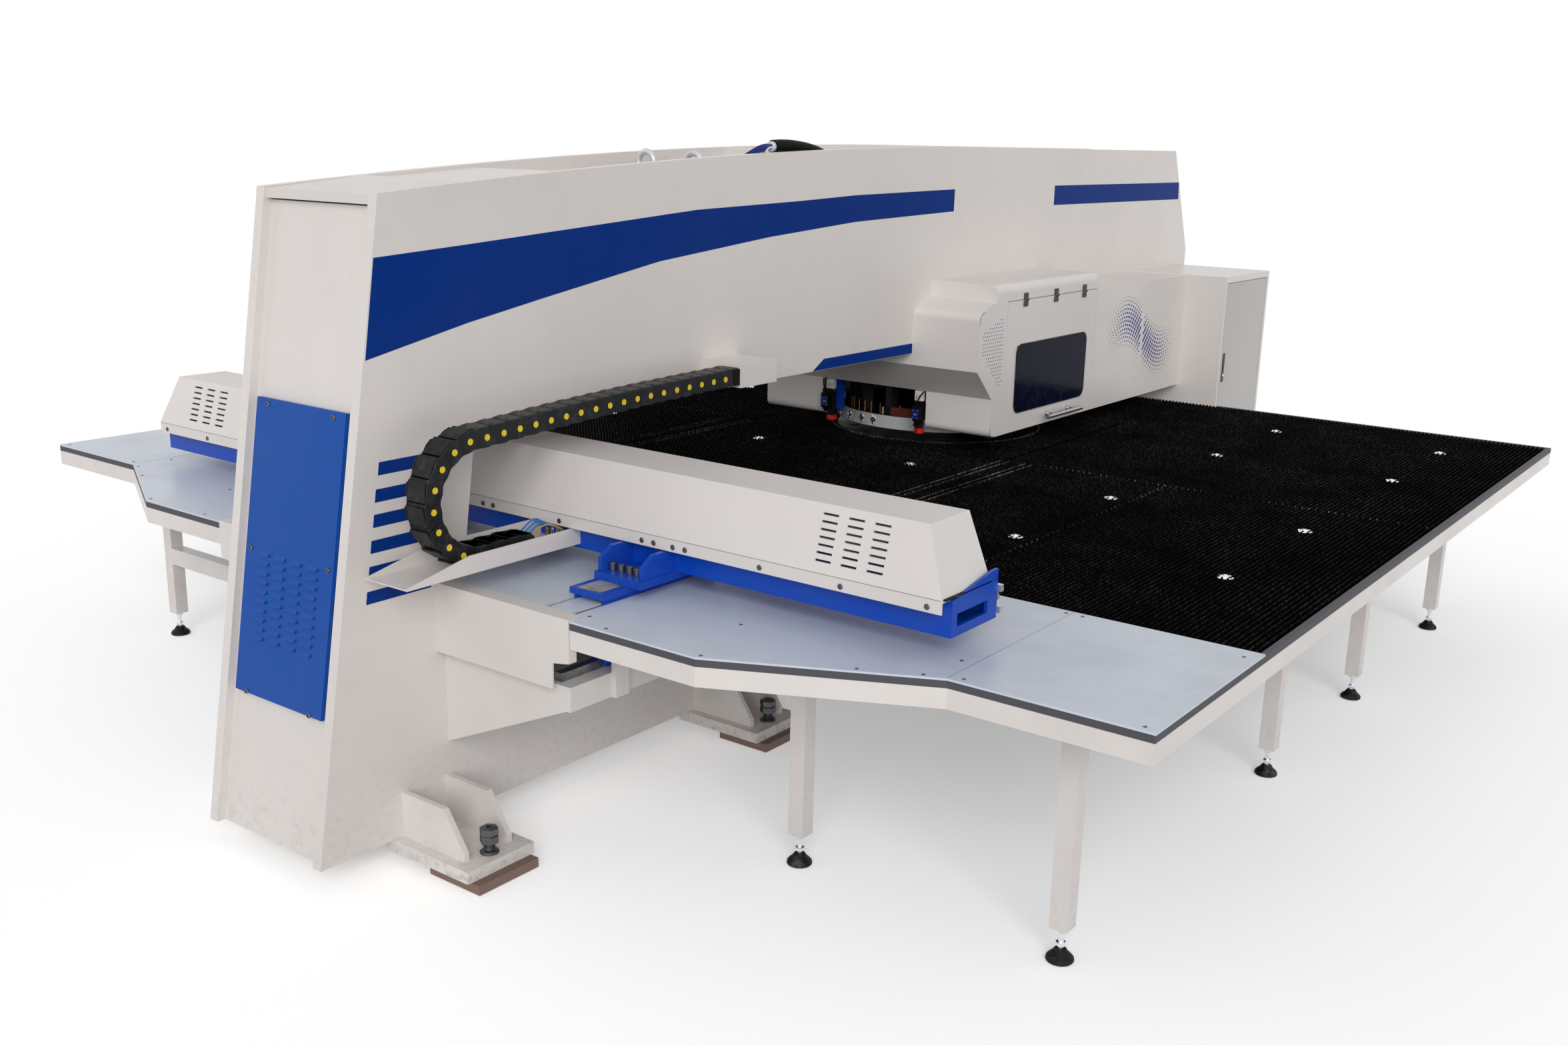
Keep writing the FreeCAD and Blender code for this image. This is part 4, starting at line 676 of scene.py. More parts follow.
NODE_FINISHES = {
    "frame_coat": ("side_plate_right", "side_plate_left", "frame_webs", "top_covers"),
    "foot_coat": ("frame_feet",),
    "leg_coat": ("table_frame_right", "table_frame_left"),
    "sheet_coat": ("front_sheet_right", "front_sheet_left", "front_sheet_centre"),
    "blue_coat": ("x_beam", "beam_saddles"),
    "panel_coat": ("louvred_panel",),
    "machined_steel": ("beam_rails", "clamp_carriage", "clamp_jaw_left", "clamp_jaw_middle", "clamp_jaw_right"),
    "rail_steel": ("y_rails",),
    "punch_steel": ("striker", "turret_spindle"),
    # Turrets and punch heads are darkened: partly painted shade under the cover.
    "shaded_turret_steel": ("upper_turret", "lower_turret", "punch_heads"),
    "drive_coat": ("striker_drive",),
    "rusted_iron": ("foot_pads",),
    "black_plastic": ("edge_trim",),
    "eye_steel": ("lifting_eyes",),
    # The cabinet's door gets the greyed coat, which is painted shade.
    "shaded_door_coat": ("cabinet_door",),
}


class PRESS_OT_cad_finishes(bpy.types.Operator):
    """Gives every CAD part its finish"""

    bl_idname = "press.cad_finishes"
    bl_label = "CAD part finishes"

    def execute(self, context):
        named = {part: finish for finish, parts in NODE_FINISHES.items() for part in parts}
        for part, thing in frame["nodes"].items():
            painted(thing, named.get(part, "white_coat"))
        return {"FINISHED"}


# ---------------------------------------------------------------- pieces

# Outlines of the stripes on the side plates, as (y, z) points.
SWOOSH_TOP = (-2.896, 1.924), (-2.534, 1.948), (-2.028, 1.984), (-1.431, 2.027), (-0.797, 2.046), (-0.409, 2.062)
SWOOSH_REAR = (0.407, 2.076), (0.405, 1.976)
SWOOSH_LOW = (-0.402, 1.952), (-0.989, 1.912), (-1.641, 1.850), (-2.211, 1.760), (-2.543, 1.705), (-2.942, 1.626)
BAR_ENDS = ((-2.916, 1.275), (-2.932, 1.193), (-2.943, 1.116), (-2.957, 1.037), (-2.969, 0.957), (-2.982, 0.880))
BAR_BACK, BAR_HIGH, BAR_SLANT = -2.729, 0.040, 0.006
REAR_STRIPE = ((1.406, 1.983), (3.020, 1.983), (3.012, 2.081), (1.406, 2.081))
THROAT_STRIPE = ((-0.680, 1.348), (0.110, 1.348), (0.110, 1.393), (-0.600, 1.393))


class PRESS_OT_stripes(bpy.types.Operator):
    """Adds the blue stripes of both side plates"""

    bl_idname = "press.stripes"
    bl_label = "Side stripes"

    def execute(self, context):
        film = context.scene.press_sizes.film
        outlines = []
        for y, z in BAR_ENDS:
            top = z + BAR_HIGH
            outlines.append(("bar", ((y, z), (BAR_BACK, z), (BAR_BACK, top), (y + BAR_SLANT, top))))
        outlines += [("sweep", SWOOSH_TOP + SWOOSH_REAR + SWOOSH_LOW), ("rear", REAR_STRIPE), ("throat", THROAT_STRIPE)]
        parts = [cut_plate(name, outline, FRAME_SIDE, film) for name, outline in outlines]
        whole = both_sides("side_stripes", *parts)
        mount(whole, "frame", "livery_film")
        return {"FINISHED"}


def stands_on(part, x, y):
    """Whether a CAD part lies under a tuft's foot all round, seen from above."""
    for across, along in ((-TUFT_ROOM, 0), (TUFT_ROOM, 0), (0, -TUFT_ROOM), (0, TUFT_ROOM)):
        hit, place, _, _ = part.ray_cast(Vector((x + across, y + along, ABOVE_TABLE)), Vector((0, 0, -1)))
        if not hit or place.z <= BRUSH_BASE - SLAB_STEP:
            return False
    return True


def tuft(height, foot, tip):
    """One tuft of bristles at the origin."""
    clear()
    middle, turn = (0, 0, height / 2), (0, 0, 0.4)
    bpy.ops.mesh.primitive_cone_add(
        vertices=3, radius1=foot, radius2=tip, depth=height, location=middle, rotation=turn
    )
    return settle("tuft")


def repeated(piece, count, step):
    """Repeats a piece in a row."""
    pick(piece)
    row = piece.modifiers.new("row", "ARRAY")
    row.use_relative_offset, row.use_constant_offset = False, True
    row.count, row.constant_offset_displace = count, step
    bpy.ops.object.modifier_apply(modifier=row.name)


def tuft_field(name, part, spots):
    """Rows of tufts wherever the CAD slab carries them, with room for the table balls."""
    sizes = bpy.context.scene.press_sizes
    low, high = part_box(part)
    pitch, foot_z, unevenness = sizes.tuft_pitch, BRUSH_BASE - 0.006, 0.0012
    field = tuft(TUFT_TOP - foot_z, sizes.tuft_foot, sizes.tuft_tip)
    each = len(field.data.vertices)
    columns = int((high.x - low.x) / pitch)
    rows = int((high.y - low.y) / pitch)
    repeated(field, columns, (pitch, 0, 0))
    repeated(field, rows, (0, pitch, 0))
    field.location = (low.x + pitch / 2, low.y + pitch / 2, foot_z)
    bpy.ops.object.transform_apply(location=True)
    slab = frame["nodes"][part]
    gone = []
    for index in range(columns * rows):
        x = low.x + pitch * (0.5 + index % columns)
        y = low.y + pitch * (0.5 + index // columns)
        near_ball = any((x - a) ** 2 + (y - b) ** 2 < BALL_ROOM**2 for a, b in spots)
        gone += [near_ball or not stands_on(slab, x, y)] * each
    field.data.vertices.foreach_set("select", gone)
    for parts in (field.data.edges, field.data.polygons):
        parts.foreach_set("select", [False] * len(parts))
    bpy.ops.object.mode_set(mode="EDIT")
    bpy.ops.mesh.select_mode(type="VERT")
    bpy.ops.mesh.delete(type="VERT")
    bpy.ops.mesh.select_all(action="SELECT")
    bpy.ops.transform.vertex_random(offset=unevenness, seed=len(name))
    bpy.ops.object.mode_set(mode="OBJECT")
    field.name = field.data.name = name
    return painted(field, "bristle")


def rim_row(start, end, pitch=0.012):
    """A close row of thin tufts along a straight edge."""
    start, end = Vector((*start, BRUSH_BASE)), Vector((*end, BRUSH_BASE))
    count = max(2, int((end - start).length / pitch))
    taller, foot, tip = 0.003, 0.0046, 0.0022
    row = tuft(TUFT_TOP + taller - BRUSH_BASE, foot, tip)
    repeated(row, count, (end - start) / (count - 1))
    row.location = start
    bpy.ops.object.transform_apply(location=True)
    return row


def ball_spots():
    """Centres of the table balls on both sides."""
    return [(side * x, y) for y, row in BALL_ROWS.items() for x in row for side in (1, -1)]


class PRESS_OT_brush_table(bpy.types.Operator):
    """Covers the table with brush tufts, close rows along its openings and seams, and the bases under them"""

    bl_idname = "press.brush_table"
    bl_label = "Brush table"

    def execute(self, context):
        spots = ball_spots()
        for part in ("brush_field_right", "brush_field_left", "brush_field_centre"):
            field = tuft_field(part.replace("field", "tufts"), part, spots)
            base = self.base(part)
            whole = joined(part.replace("field", "tufts"), [field, base])
            mount(whole, "frame", stands_for=[part])
        slots = [rim_row((x, -1.633), (x, 0.226)) for x in (0.718, 0.751, 0.833, 0.867)]
        seams = [rim_row((0.900, 0.250), (2.560, 0.250), 0.026), rim_row((1.500, -1.630), (1.500, 0.240), 0.040)]
        edges = both_sides("opening_bristles", *slots, *seams)
        circle = self.circle()
        mount(joined("opening_bristles", [edges, circle]), "frame", "edge_bristle")
        return {"FINISHED"}

    def base(self, part):
        """The slab that carries the tufts: the CAD slab's own outline, merged and cut down to its floor."""
        slab = frame["nodes"][part].copy()
        slab.data = slab.data.copy()
        slab.parent = None
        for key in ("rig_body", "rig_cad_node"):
            if key in slab:
                del slab[key]
        bpy.context.collection.objects.link(slab)
        pick(slab)
        bpy.ops.object.mode_set(mode="EDIT")
        bpy.ops.mesh.select_all(action="SELECT")
        bpy.ops.mesh.remove_doubles(threshold=0.00002)
        bpy.ops.mesh.bisect(
            plane_co=(0, 0, BRUSH_BASE - 0.004), plane_no=(0, 0, 1), use_fill=True, clear_outer=True, threshold=0.00001
        )
        bpy.ops.object.mode_set(mode="OBJECT")
        return painted(slab, "brush_base")

    def circle(self):
        """The ring of tufts around the turret."""
        taller, foot, tip = 0.004, 0.0052, 0.0032
        one = tuft(TUFT_TOP + taller - BRUSH_BASE, foot, tip)
        count, radius, rear_end = 240, TURRET_HOLE + 0.007, 1.44
        places = [
            Matrix.Translation(TURRET_CENTRE + Vector((0, 0, BRUSH_BASE)))
            @ Matrix.Rotation(math.tau * index / count, 4, "Z")
            @ moved(0, -radius)
            for index in range(count)
        ]
        kept = [place for place in places if place.translation.y < rear_end]
        return copies("ring", one, kept)


class PRESS_OT_table_balls(bpy.types.Operator):
    """Sets steel balls in their cups between the tufts"""

    bl_idname = "press.table_balls"
    bl_label = "Table balls"

    def execute(self, context):
        radius = context.scene.press_sizes.ball_radius
        cup = turned("cup", [(0.029, 0.872), (0.029, 0.881), (0.026, 0.884), (0.018, 0.884), (0.015, 0.880)], 20)
        clear()
        centre = (0, 0, TABLE_TOP - radius)
        bpy.ops.mesh.primitive_uv_sphere_add(segments=16, ring_count=8, radius=radius, location=centre)
        ball = smooth(settle("ball"), 60)
        unit = joined("table_balls", [painted(cup, "chrome"), painted(ball, "chrome")])
        whole = copies("table_balls", unit, [moved(x, y) for x, y in ball_spots()])
        mount(whole, "frame", stands_for=["ball_units"])
        return {"FINISHED"}


def screw(name, radius, high, sides=12):
    """A low screw head with its socket, standing along Z."""
    rings = ((1, 0), (1, 0.6), (0.86, 1), (0.5, 1), (0.46, 0.4))
    return turned(name, [(radius * wide, high * up) for wide, up in rings], sides)


FACE_OUT = Matrix.Rotation(math.radians(90), 4, "Y")
FACE_FRONT = Matrix.Rotation(math.radians(90), 4, "X")


def swept(name, stations, thick):
    """A bar of even thickness across X, drawn along Y through (y, shift in X, half height) stations."""
    clear()
    y, shift, half = stations[0]
    bpy.ops.mesh.primitive_plane_add(size=1, rotation=(math.radians(90), 0, 0), location=(shift, y, 0))
    piece = opened(name)
    bpy.ops.transform.resize(value=(thick, 1, 2 * half), center_override=(shift, y, 0))
    for next_y, next_shift, next_half in stations[1:]:
        step = {"value": (next_shift - shift, next_y - y, 0)}
        bpy.ops.mesh.extrude_region_move(TRANSFORM_OT_translate=step)
        if next_half != half:
            bpy.ops.transform.resize(value=(1, 1, next_half / half))
        y, shift, half = next_y, next_shift, next_half
    done()
    return piece


def chain_link(capped=True):
    """One link with its pivot at the origin: joggled cheeks, hooked lids with a ledge behind each, pivot caps."""
    sizes = bpy.context.scene.press_sizes
    half, high, thick = sizes.link_width / 2, sizes.link_height / 2, 0.0042
    joggle, narrow = -0.0046, high - 0.002
    cheek = swept(
        "cheek",
        (
            (-0.0190, 0, high * 0.62),
            (-0.0130, 0, high),
            (0.0120, 0, high),
            (0.0340, joggle, narrow),
            (0.0720, joggle, narrow),
            (0.0885, joggle, high * 0.55),
        ),
        thick,
    )
    cheek = placed(soften(cheek, 0.0010, 1), moved(half - thick / 2))
    bars = []
    for up, start, end in ((-1, -0.024, 0.040), (1, -0.020, 0.036)):
        low, top = sorted((up * (high - 0.006), up * (high + 0.0006)))
        bars.append(block("lid", (-half + 0.009, start, low), (half - 0.009, end, top), 0.0020, 2))
        low, top = sorted((up * (high - 0.009), up * (high - 0.003)))
        bars.append(block("ledge", (-half + 0.010, end + 0.0035, low), (half - 0.010, end + 0.045, top), 0.0010))
        low, top = sorted((up * (high - 0.001), up * (high + 0.0018)))
        for x in (-0.022, 0.022):
            bars.append(block("hook", (x - 0.0016, end - 0.022, low), (x + 0.0016, end - 0.008, top), 0.0006))
            bars.append(block("notch", (x - 0.0060, end - 0.010, low), (x + 0.0016, end - 0.0066, top), 0.0006))
    body = painted(joined("body", [both_sides("cheeks", cheek)] + bars), "chain_plastic")
    if not capped:
        return body
    radius = sizes.cap_radius
    cap = turned("cap", [(radius, 0), (radius, 0.0012), (radius - 0.0015, 0.0020), (radius - 0.004, 0.0014)], 18)
    caps = painted(both_sides("caps", placed(cap, moved(half - 0.0004) @ FACE_OUT)), "cap_plastic")
    return joined("chain_link", [body, caps])


def along(place, angle):
    """Where a link sits: its own front turned down the chain by an angle about X."""
    return Matrix.Translation(place) @ Matrix.Rotation(angle, 4, "X")


def share(piece, weight):
    """Puts a link on the frame when its part of the carriage's travel is none and on the carriage when it is all; any
    other link only gets its place put into its mesh.
    """
    if weight <= 0 or weight >= 1:
        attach(piece, "frame" if weight <= 0 else "y_carriage")
        return
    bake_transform(piece)


class PRESS_OT_energy_chain(bpy.types.Operator):
    """Hangs the energy chain, link by link, over its upper run, bend and lower run"""

    bl_idname = "press.energy_chain"
    bl_label = "Energy chain"

    def execute(self, context):
        end, model = chain_link(capped=False), chain_link()
        self.upper_run(end, model)
        for index in range(BEND_LINKS):
            heading = math.pi + BEND_FIRST + BEND_STEP * (index + 0.5)
            link = self.twin(model, "bend_link_%d" % index, along(self.on_bend(index), heading), 0)
            mount(link, "chain_bend", stands_for=["chain_bend"] if index == 0 else ())
        self.lower_run(model)
        bpy.data.objects.remove(end)
        bpy.data.objects.remove(model)
        # A thin dark sheet beside the chain's fixed end is painted shade in the recess there.
        recess_shade = block("recess_shade", (0.4798, -1.437, 1.396), (0.4806, -1.4005, 1.456), 0.0003)
        mount(recess_shade, "frame", "black_and_painted_shade")
        return {"FINISHED"}

    def on_bend(self, index):
        """A pivot's place on the bend."""
        turn = BEND_FIRST + BEND_STEP * index
        return Vector((CHAIN_X, BEND_Y - BEND_RADIUS * math.sin(turn), BEND_Z + BEND_RADIUS * math.cos(turn)))

    def upper_run(self, end, model):
        """Links from the fixed end forward to the bend, bowed upwards a little."""
        pitch = (self.on_bend(0) - CHAIN_START) / UPPER_LINKS
        pivots = [
            CHAIN_START + pitch * index + Vector((0, 0, CHAIN_BOW * math.sin(math.pi * index / UPPER_LINKS)))
            for index in range(UPPER_LINKS + 1)
        ]
        stacked = 0.0654
        for index in range(UPPER_LINKS):
            run = pivots[index + 1] - pivots[index]
            place = along(pivots[index], math.atan2(run.z, run.y))
            link = self.twin(model if index else end, "upper_link_%02d" % index, place, index)
            goal = CHAIN_START.y - stacked * (index // 5 + 0.5)
            share(link, (goal - pivots[index].y - run.y / 2) / TRAVEL)
            if index == 0:
                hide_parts("chain_upper")

    def lower_run(self, model):
        """Links from the bend back along the tray, which lie together at rest."""
        spaced, spread_out = 0.0745, 0.0707
        last = self.on_bend(BEND_LINKS)
        for index in range(LOWER_LINKS):
            place = Vector((CHAIN_X, last.y + spaced * (2 - index // LINK_STACK), BEND_Z - BEND_RADIUS))
            goal = last.y + 3 * spaced + TRAVEL - spread_out * (index + 0.5)
            link = self.twin(model, "lower_link_%02d" % index, along(place, 0.0), index)
            share(link, (goal - place.y - spaced / 2) / TRAVEL)
            if index == 0:
                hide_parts("chain_lower")

    def twin(self, model, name, place, index):
        """A copy of the link, a hair aside from the ones it may lie with."""
        link = model.copy()
        link.data = model.data.copy()
        link.data.transform(moved((index % LINK_STACK) * LINK_SHIFT) @ place)
        link.name = link.data.name = name
        bpy.context.collection.objects.link(link)
        return link


FLANGE_SCREWS = (0.075, 0.125, 0.445, 0.813, 0.863, 0.943, 0.993, 1.286, 1.581, 1.873)


class PRESS_OT_beam_fittings(bpy.types.Operator):
    """Adds the beam's cover screws, seal, folds and end stops"""

    bl_idname = "press.beam_fittings"
    bl_label = "Beam fittings"

    def execute(self, context):
        head = screw("head", context.scene.press_sizes.screw_radius, 0.003)
        head = placed(head, moved(0, BEAM_FRONT, 1.043) @ FACE_FRONT)
        row = mirrored((x, 0.0) for x in FLANGE_SCREWS)
        mount(copies("beam_screws", head, row), "y_carriage", "black_steel")
        folds = [block("fold", (-1.915, BEAM_FRONT - 0.0006, 1.0668), (1.915, BEAM_FRONT + 0.001, 1.0678), 0.0002)]
        seal = block("seal", (1.9195, -2.300, 1.0665), (1.9300, -2.045, 1.0720), 0.001)
        seals = both_sides("seals", seal)
        mount(joined("beam_seals", folds + [seals]), "y_carriage", "rubber")
        stop = joined(
            "stop",
            [
                block("pad", (1.900, -2.012, 1.000), (1.928, -1.994, 1.050), 0.004, 2),
                rod("stem", (1.912, -2.003, 1.012), (1.930, -2.003, 1.012), 0.010),
            ],
        )
        mount(both_sides("beam_stops", stop), "y_carriage", "worn_step")
        return {"FINISHED"}


class PRESS_OT_saddle_bolts(bpy.types.Operator):
    """Adds the socket-head bolts and the worn step plates of the saddles"""

    bl_idname = "press.saddle_bolts"
    bl_label = "Saddle bolts"

    def execute(self, context):
        parts = []
        for x in (0.757, 0.793, 0.829, 0.860):
            low, wide = 0.9515, 0.0126
            rings = [(wide, 0), (wide, 0.0225), (wide * 0.9, 0.0241), (wide * 0.55, 0.0241), (wide * 0.5, 0.016)]
            parts.append(painted(turned("bolt", rings, 16, (x, -2.380, low)), "black_steel"))
        step = block("step", (0.7460, -2.5300, 0.9248), (0.8400, -2.4050, 0.9260), 0.0004)
        parts.append(painted(step, "worn_step"))
        mount(both_sides("saddle_bolts", *parts), "y_carriage")
        return {"FINISHED"}


class PRESS_OT_levelling_bolts(bpy.types.Operator):
    """Fits the frame's levelling bolts with washer, nut, thread and head"""

    bl_idname = "press.levelling_bolts"
    bl_label = "Levelling bolts"

    def execute(self, context):
        washer = turned("washer", [(0.031, 0.072), (0.031, 0.077), (0.029, 0.079), (0.024, 0.082)], 24)
        thread = []
        for turn in range(5):
            foot = 0.083 + 0.004 * turn
            thread += [(0.0165, foot), (0.0185, foot + 0.002)]
        stud = turned("stud", [(0.0165, 0.080)] + thread + [(0.0165, 0.112)], 16)
        nut = turned("nut", [(0.026, 0.104), (0.031, 0.108), (0.031, 0.129), (0.026, 0.133)], 6)
        hexagon = [(0.026, 0.132), (0.031, 0.136), (0.031, 0.156), (0.024, 0.160), (0.010, 0.160), (0.009, 0.148)]
        head = turned("head", hexagon, 6)
        bolt = joined("levelling_bolts", [washer, nut, stud, head])
        whole = copies("levelling_bolts", bolt, [moved(x, y) for x, y in BOLT_SPOTS])
        mount(whole, "frame", "black_steel", ["levelling_bolts"])
        return {"FINISHED"}


class PRESS_OT_table_feet(bpy.types.Operator):
    """Fits the table's levelling feet: rubber cup, steel nut and stem"""

    bl_idname = "press.table_feet"
    bl_label = "Table feet"

    def execute(self, context):
        bell = [(0.040, 0), (0.042, 0.003), (0.041, 0.010), (0.034, 0.018), (0.026, 0.024), (0.020, 0.034)]
        cup = turned("cup", bell + [(0.016, 0.038)], 28)
        nut = turned("nut", [(0.014, 0.046), (0.016, 0.048), (0.016, 0.058), (0.014, 0.060)], 6)
        stem = turned("stem", [(0.009, 0.036), (0.009, 0.104), (0.008, 0.105)], 16)
        lock = turned("lock", [(0.015, 0.092), (0.017, 0.094), (0.017, 0.102), (0.016, 0.104)], 6)
        foot = joined(
            "table_feet",
            [painted(cup, "rubber"), painted(nut, "chrome"), painted(stem, "chrome"), painted(lock, "chrome")],
        )
        mount(copies("table_feet", foot, mirrored(LEG_SPOTS)), "frame", stands_for=["table_feet"])
        return {"FINISHED"}


# Screws of the front sheets, as (x, y) points of the right side, and of the louvred panel, as (x, z) points.
SHEET_SCREWS = (
    ((0.905, -2.640), (0.905, -1.665), (1.020, -2.690), (1.381, -2.690), (1.295, -2.404), (1.773, -2.495))
    + ((1.937, -2.415), (1.960, -2.250), (1.985, -1.660), (2.040, -2.375), (2.040, -1.660))
    + ((2.560, -2.375), (2.560, -1.696))
)
PANEL_SCREWS = ((0.165, 1.443), (0.196, 0.985), (0.163, 0.528))


class PRESS_OT_sheet_screws(bpy.types.Operator):
    """Adds the screws of the front sheets and the louvred panel, and the joint between the sheets"""

    bl_idname = "press.sheet_screws"
    bl_label = "Sheet screws"

    def execute(self, context):
        head = screw("head", 0.006, 0.0012, 10)
        heads = copies("sheet_screws", head, mirrored(SHEET_SCREWS, TABLE_TOP))
        joint = block("joint", (1.9994, -2.396, TABLE_TOP - 0.001), (2.0006, -1.635, TABLE_TOP + 0.0003), 0.0001)
        mount(joined("sheet_screws", [heads, both_sides("joints", joint)]), "frame", "black_steel")
        low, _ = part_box("louvred_panel")
        panel = frame["nodes"]["louvred_panel"]
        big = screw("big", 0.009, 0.004)
        places = []
        for x, z in PANEL_SCREWS:
            for side in (1, -1):
                hit, place, normal, _ = panel.ray_cast(Vector((side * x, low.y - 1, z)), Vector((0, 1, 0)))
                if not hit:
                    raise RuntimeError("no panel behind a panel screw")
                turn = normal.to_track_quat("Z", "X").to_matrix().to_4x4()
                places.append(Matrix.Translation(place) @ turn)
        mount(copies("panel_screws", big, places), "frame", "black_steel")
        return {"FINISHED"}


class PRESS_OT_turret_fittings(bpy.types.Operator):
    """Dresses the punching station: polished ring with its sockets, pins, guards, stops, and sensors with cables"""

    bl_idname = "press.turret_fittings"
    bl_label = "Turret fittings"

    def execute(self, context):
        self.ring()
        self.pins()
        self.stops()
        self.sensors()
        return {"FINISHED"}

    def ring(self):
        """Polished band around the upper disc, with key sockets in pairs."""
        clear()
        radius, high, thick = TURRET_RADIUS + 0.0015, 0.062, 0.003
        bpy.ops.mesh.primitive_cylinder_add(vertices=96, radius=radius, depth=high, end_fill_type="NOTHING")
        band = settle("band")
        skin = band.modifiers.new("thickness", "SOLIDIFY")
        skin.thickness, skin.offset = thick, -1
        pick(band)
        bpy.ops.object.modifier_apply(modifier=skin.name)
        band.data.transform(Matrix.Translation(TURRET_CENTRE + Vector((0, 0, RING_HEIGHT))))
        band = painted(smooth(soften(band, 0.0008, 1)), "ring_steel")
        big = turned("big", [(0.016, 0), (0.016, 0.003), (0.014, 0.004), (0.012, 0.004), (0.011, 0.001)], 20)
        small = turned("small", [(0.006, 0), (0.006, 0.003), (0.005, 0.004), (0.0025, 0.004)], 12)
        small = placed(small, moved(0.0, -0.020))
        # A dark disc at the bottom of each socket is painted shade of its deep hole.
        hole_shade = turned("hole_shade", [(0.0105, 0), (0.0105, 0.0012), (0.009, 0.0016)], 20, (0, 0, 0.0012))
        socket = joined("socket", [painted(big, "chrome"), painted(hole_shade, "black_plastic"), painted(small, "chrome")])
        socket.data.transform(moved(0, -TURRET_RADIUS - 0.0012, 0.968) @ FACE_FRONT)
        angles = [-27, -15, -6, 20.5] + [42 + 23 * step for step in range(13)]
        sockets = copies("sockets", socket, [self.turned_out(angle, 0) for angle in angles])
        mount(joined("turret_ring", [band, sockets]), "upper_turret")

    def pins(self):
        """Slim return pins behind the ring, and a dull red guard with its brass screw."""
        pin = painted(rod("pin", (0, 0, PIN_FOOT), (0, 0, 1.046), 0.0030, 10), "brass")
        around = [-31, -28, -22, -16.5, -11, -4, 9.5] + [24 + 15 * step for step in range(19)]
        pins = copies("turret_pins", pin, [self.turned_out(angle, 0.472) for angle in around])
        stub = painted(rod("stub", (0, 0, PIN_FOOT), (0, 0, 1.030), 0.0070, 12), "punch_steel")
        stubs = copies("stubs", stub, [self.turned_out(angle, 0.470) for angle in (-2, 58, 178, 298)])
        guard = painted(block("guard", (-0.034, -0.488, 0.9945), (0.034, -0.466, 1.036), 0.001), "guard_coat")
        guards = copies("guards", guard, [self.turned_out(angle, 0) for angle in (8.5, 16.0)])
        head = placed(screw("head", 0.004, 0.002, 10), self.turned_out(15.0, 0.488) @ moved(0, 0, 1.016) @ FACE_FRONT)
        parts = [pins, stubs, guards, painted(head, "brass")]
        mount(joined("turret_pins", parts), "upper_turret")

    def turned_out(self, angle, radius):
        """A place on the turret, an angle away from its front."""
        return Matrix.Translation(TURRET_CENTRE) @ Matrix.Rotation(math.radians(angle), 4, "Z") @ moved(0, -radius)

    def stops(self):
        """Red stops hung on black stems beside the opening, and the blue post on the left."""
        knob = turned("knob", [(0.021, 0), (0.025, 0.003), (0.025, 0.021), (0.021, 0.025)], 20, (0.252, 0.254, 0.948))
        stem = turned("stem", [(0.0185, 0), (0.0185, 0.112), (0.016, 0.115)], 20, (0.252, 0.254, 0.9725))
        one = joined("stop", [painted(knob, "red_plastic"), painted(stem, "black_and_painted_shade")])
        mount(both_sides("turret_stops", one), "frame")
        post = block("post", (-0.2935, 0.336, 0.985), (-0.2620, 0.378, 1.348), 0.003, 2)
        mount(painted(post, "blue_coat"), "frame")

    def sensors(self):
        """Sheet sensors: dark body with a navy face, thin feeler, pale plug on its bracket, black cable."""
        y = 0.200
        shell = block("shell", (0.242, y, 1.012), (0.286, y + 0.030, 1.086), 0.005, 2)
        snout = turned("snout", [(0.007, 0), (0.014, 0.010), (0.019, 0.018)], 14, (0.262, y + 0.014, 0.996))
        face = block("face", (0.2445, y - 0.0012, 1.024), (0.2790, y + 0.001, 1.070), 0.0005)
        marks = [
            block("mark", (x, y - 0.0020, z), (x + 0.003, y, z + 0.002), 0.0004)
            for x in (0.248, 0.272)
            for z in (1.028, 1.063)
        ]
        lines = [block("line", (0.252, y - 0.0017, z), (0.270, y, z + 0.0012), 0.0003) for z in (1.042, 1.048)]
        feeler = rod("feeler", (0.262, y + 0.014, 0.930), (0.262, y + 0.014, 0.999), 0.0022, 8)
        plug = block("plug", (0.232, y + 0.034, 1.104), (0.276, y + 0.058, 1.152), 0.003, 2)
        slots = [block("slot", (x, y + 0.0332, 1.112), (x + 0.003, y + 0.0342, 1.132), 0.0003) for x in (0.242, 0.258)]
        bracket = block("bracket", (0.236, y + 0.030, 1.020), (0.296, y + 0.036, 1.104), 0.001)
        route = ((0.262, 0.014, 1.083), (0.266, 0.002, 1.106), (0.276, 0.006, 1.132), (0.288, 0.024, 1.152))
        lead = hose("lead", [(x, y + back, z) for x, back, z in route], 0.0032)
        finishes = (
            ([shell, snout, bracket, lead] + slots, "hose_black"),
            ([face], "sensor_plastic"),
            (marks + lines, "socket_plastic"),
            ([feeler], "chrome"),
            ([plug], "socket_plastic"),
        )
        parts = [painted(part, finish) for group, finish in finishes for part in group]
        whole = both_sides("sheet_sensors", joined("sensor", parts))
        mount(whole, "frame", stands_for=["sheet_sensors"])


def rounded_pane(name, side, thick, low, high, corner, steps=5):
    """A plate across X with rounded corners."""
    clear()
    size = (high[0] - low[0], high[1] - low[1])
    middle = ((low[0] + high[0]) / 2, (low[1] + high[1]) / 2)
    bpy.ops.mesh.primitive_plane_add(size=1, rotation=(0, math.radians(90), 0), location=(side, *middle))
    piece = opened(name, "VERT")
    bpy.ops.transform.resize(value=(1, *size))
    bpy.ops.mesh.bevel(offset=corner, segments=steps, affect="VERTICES")
    return thickened(piece, thick)


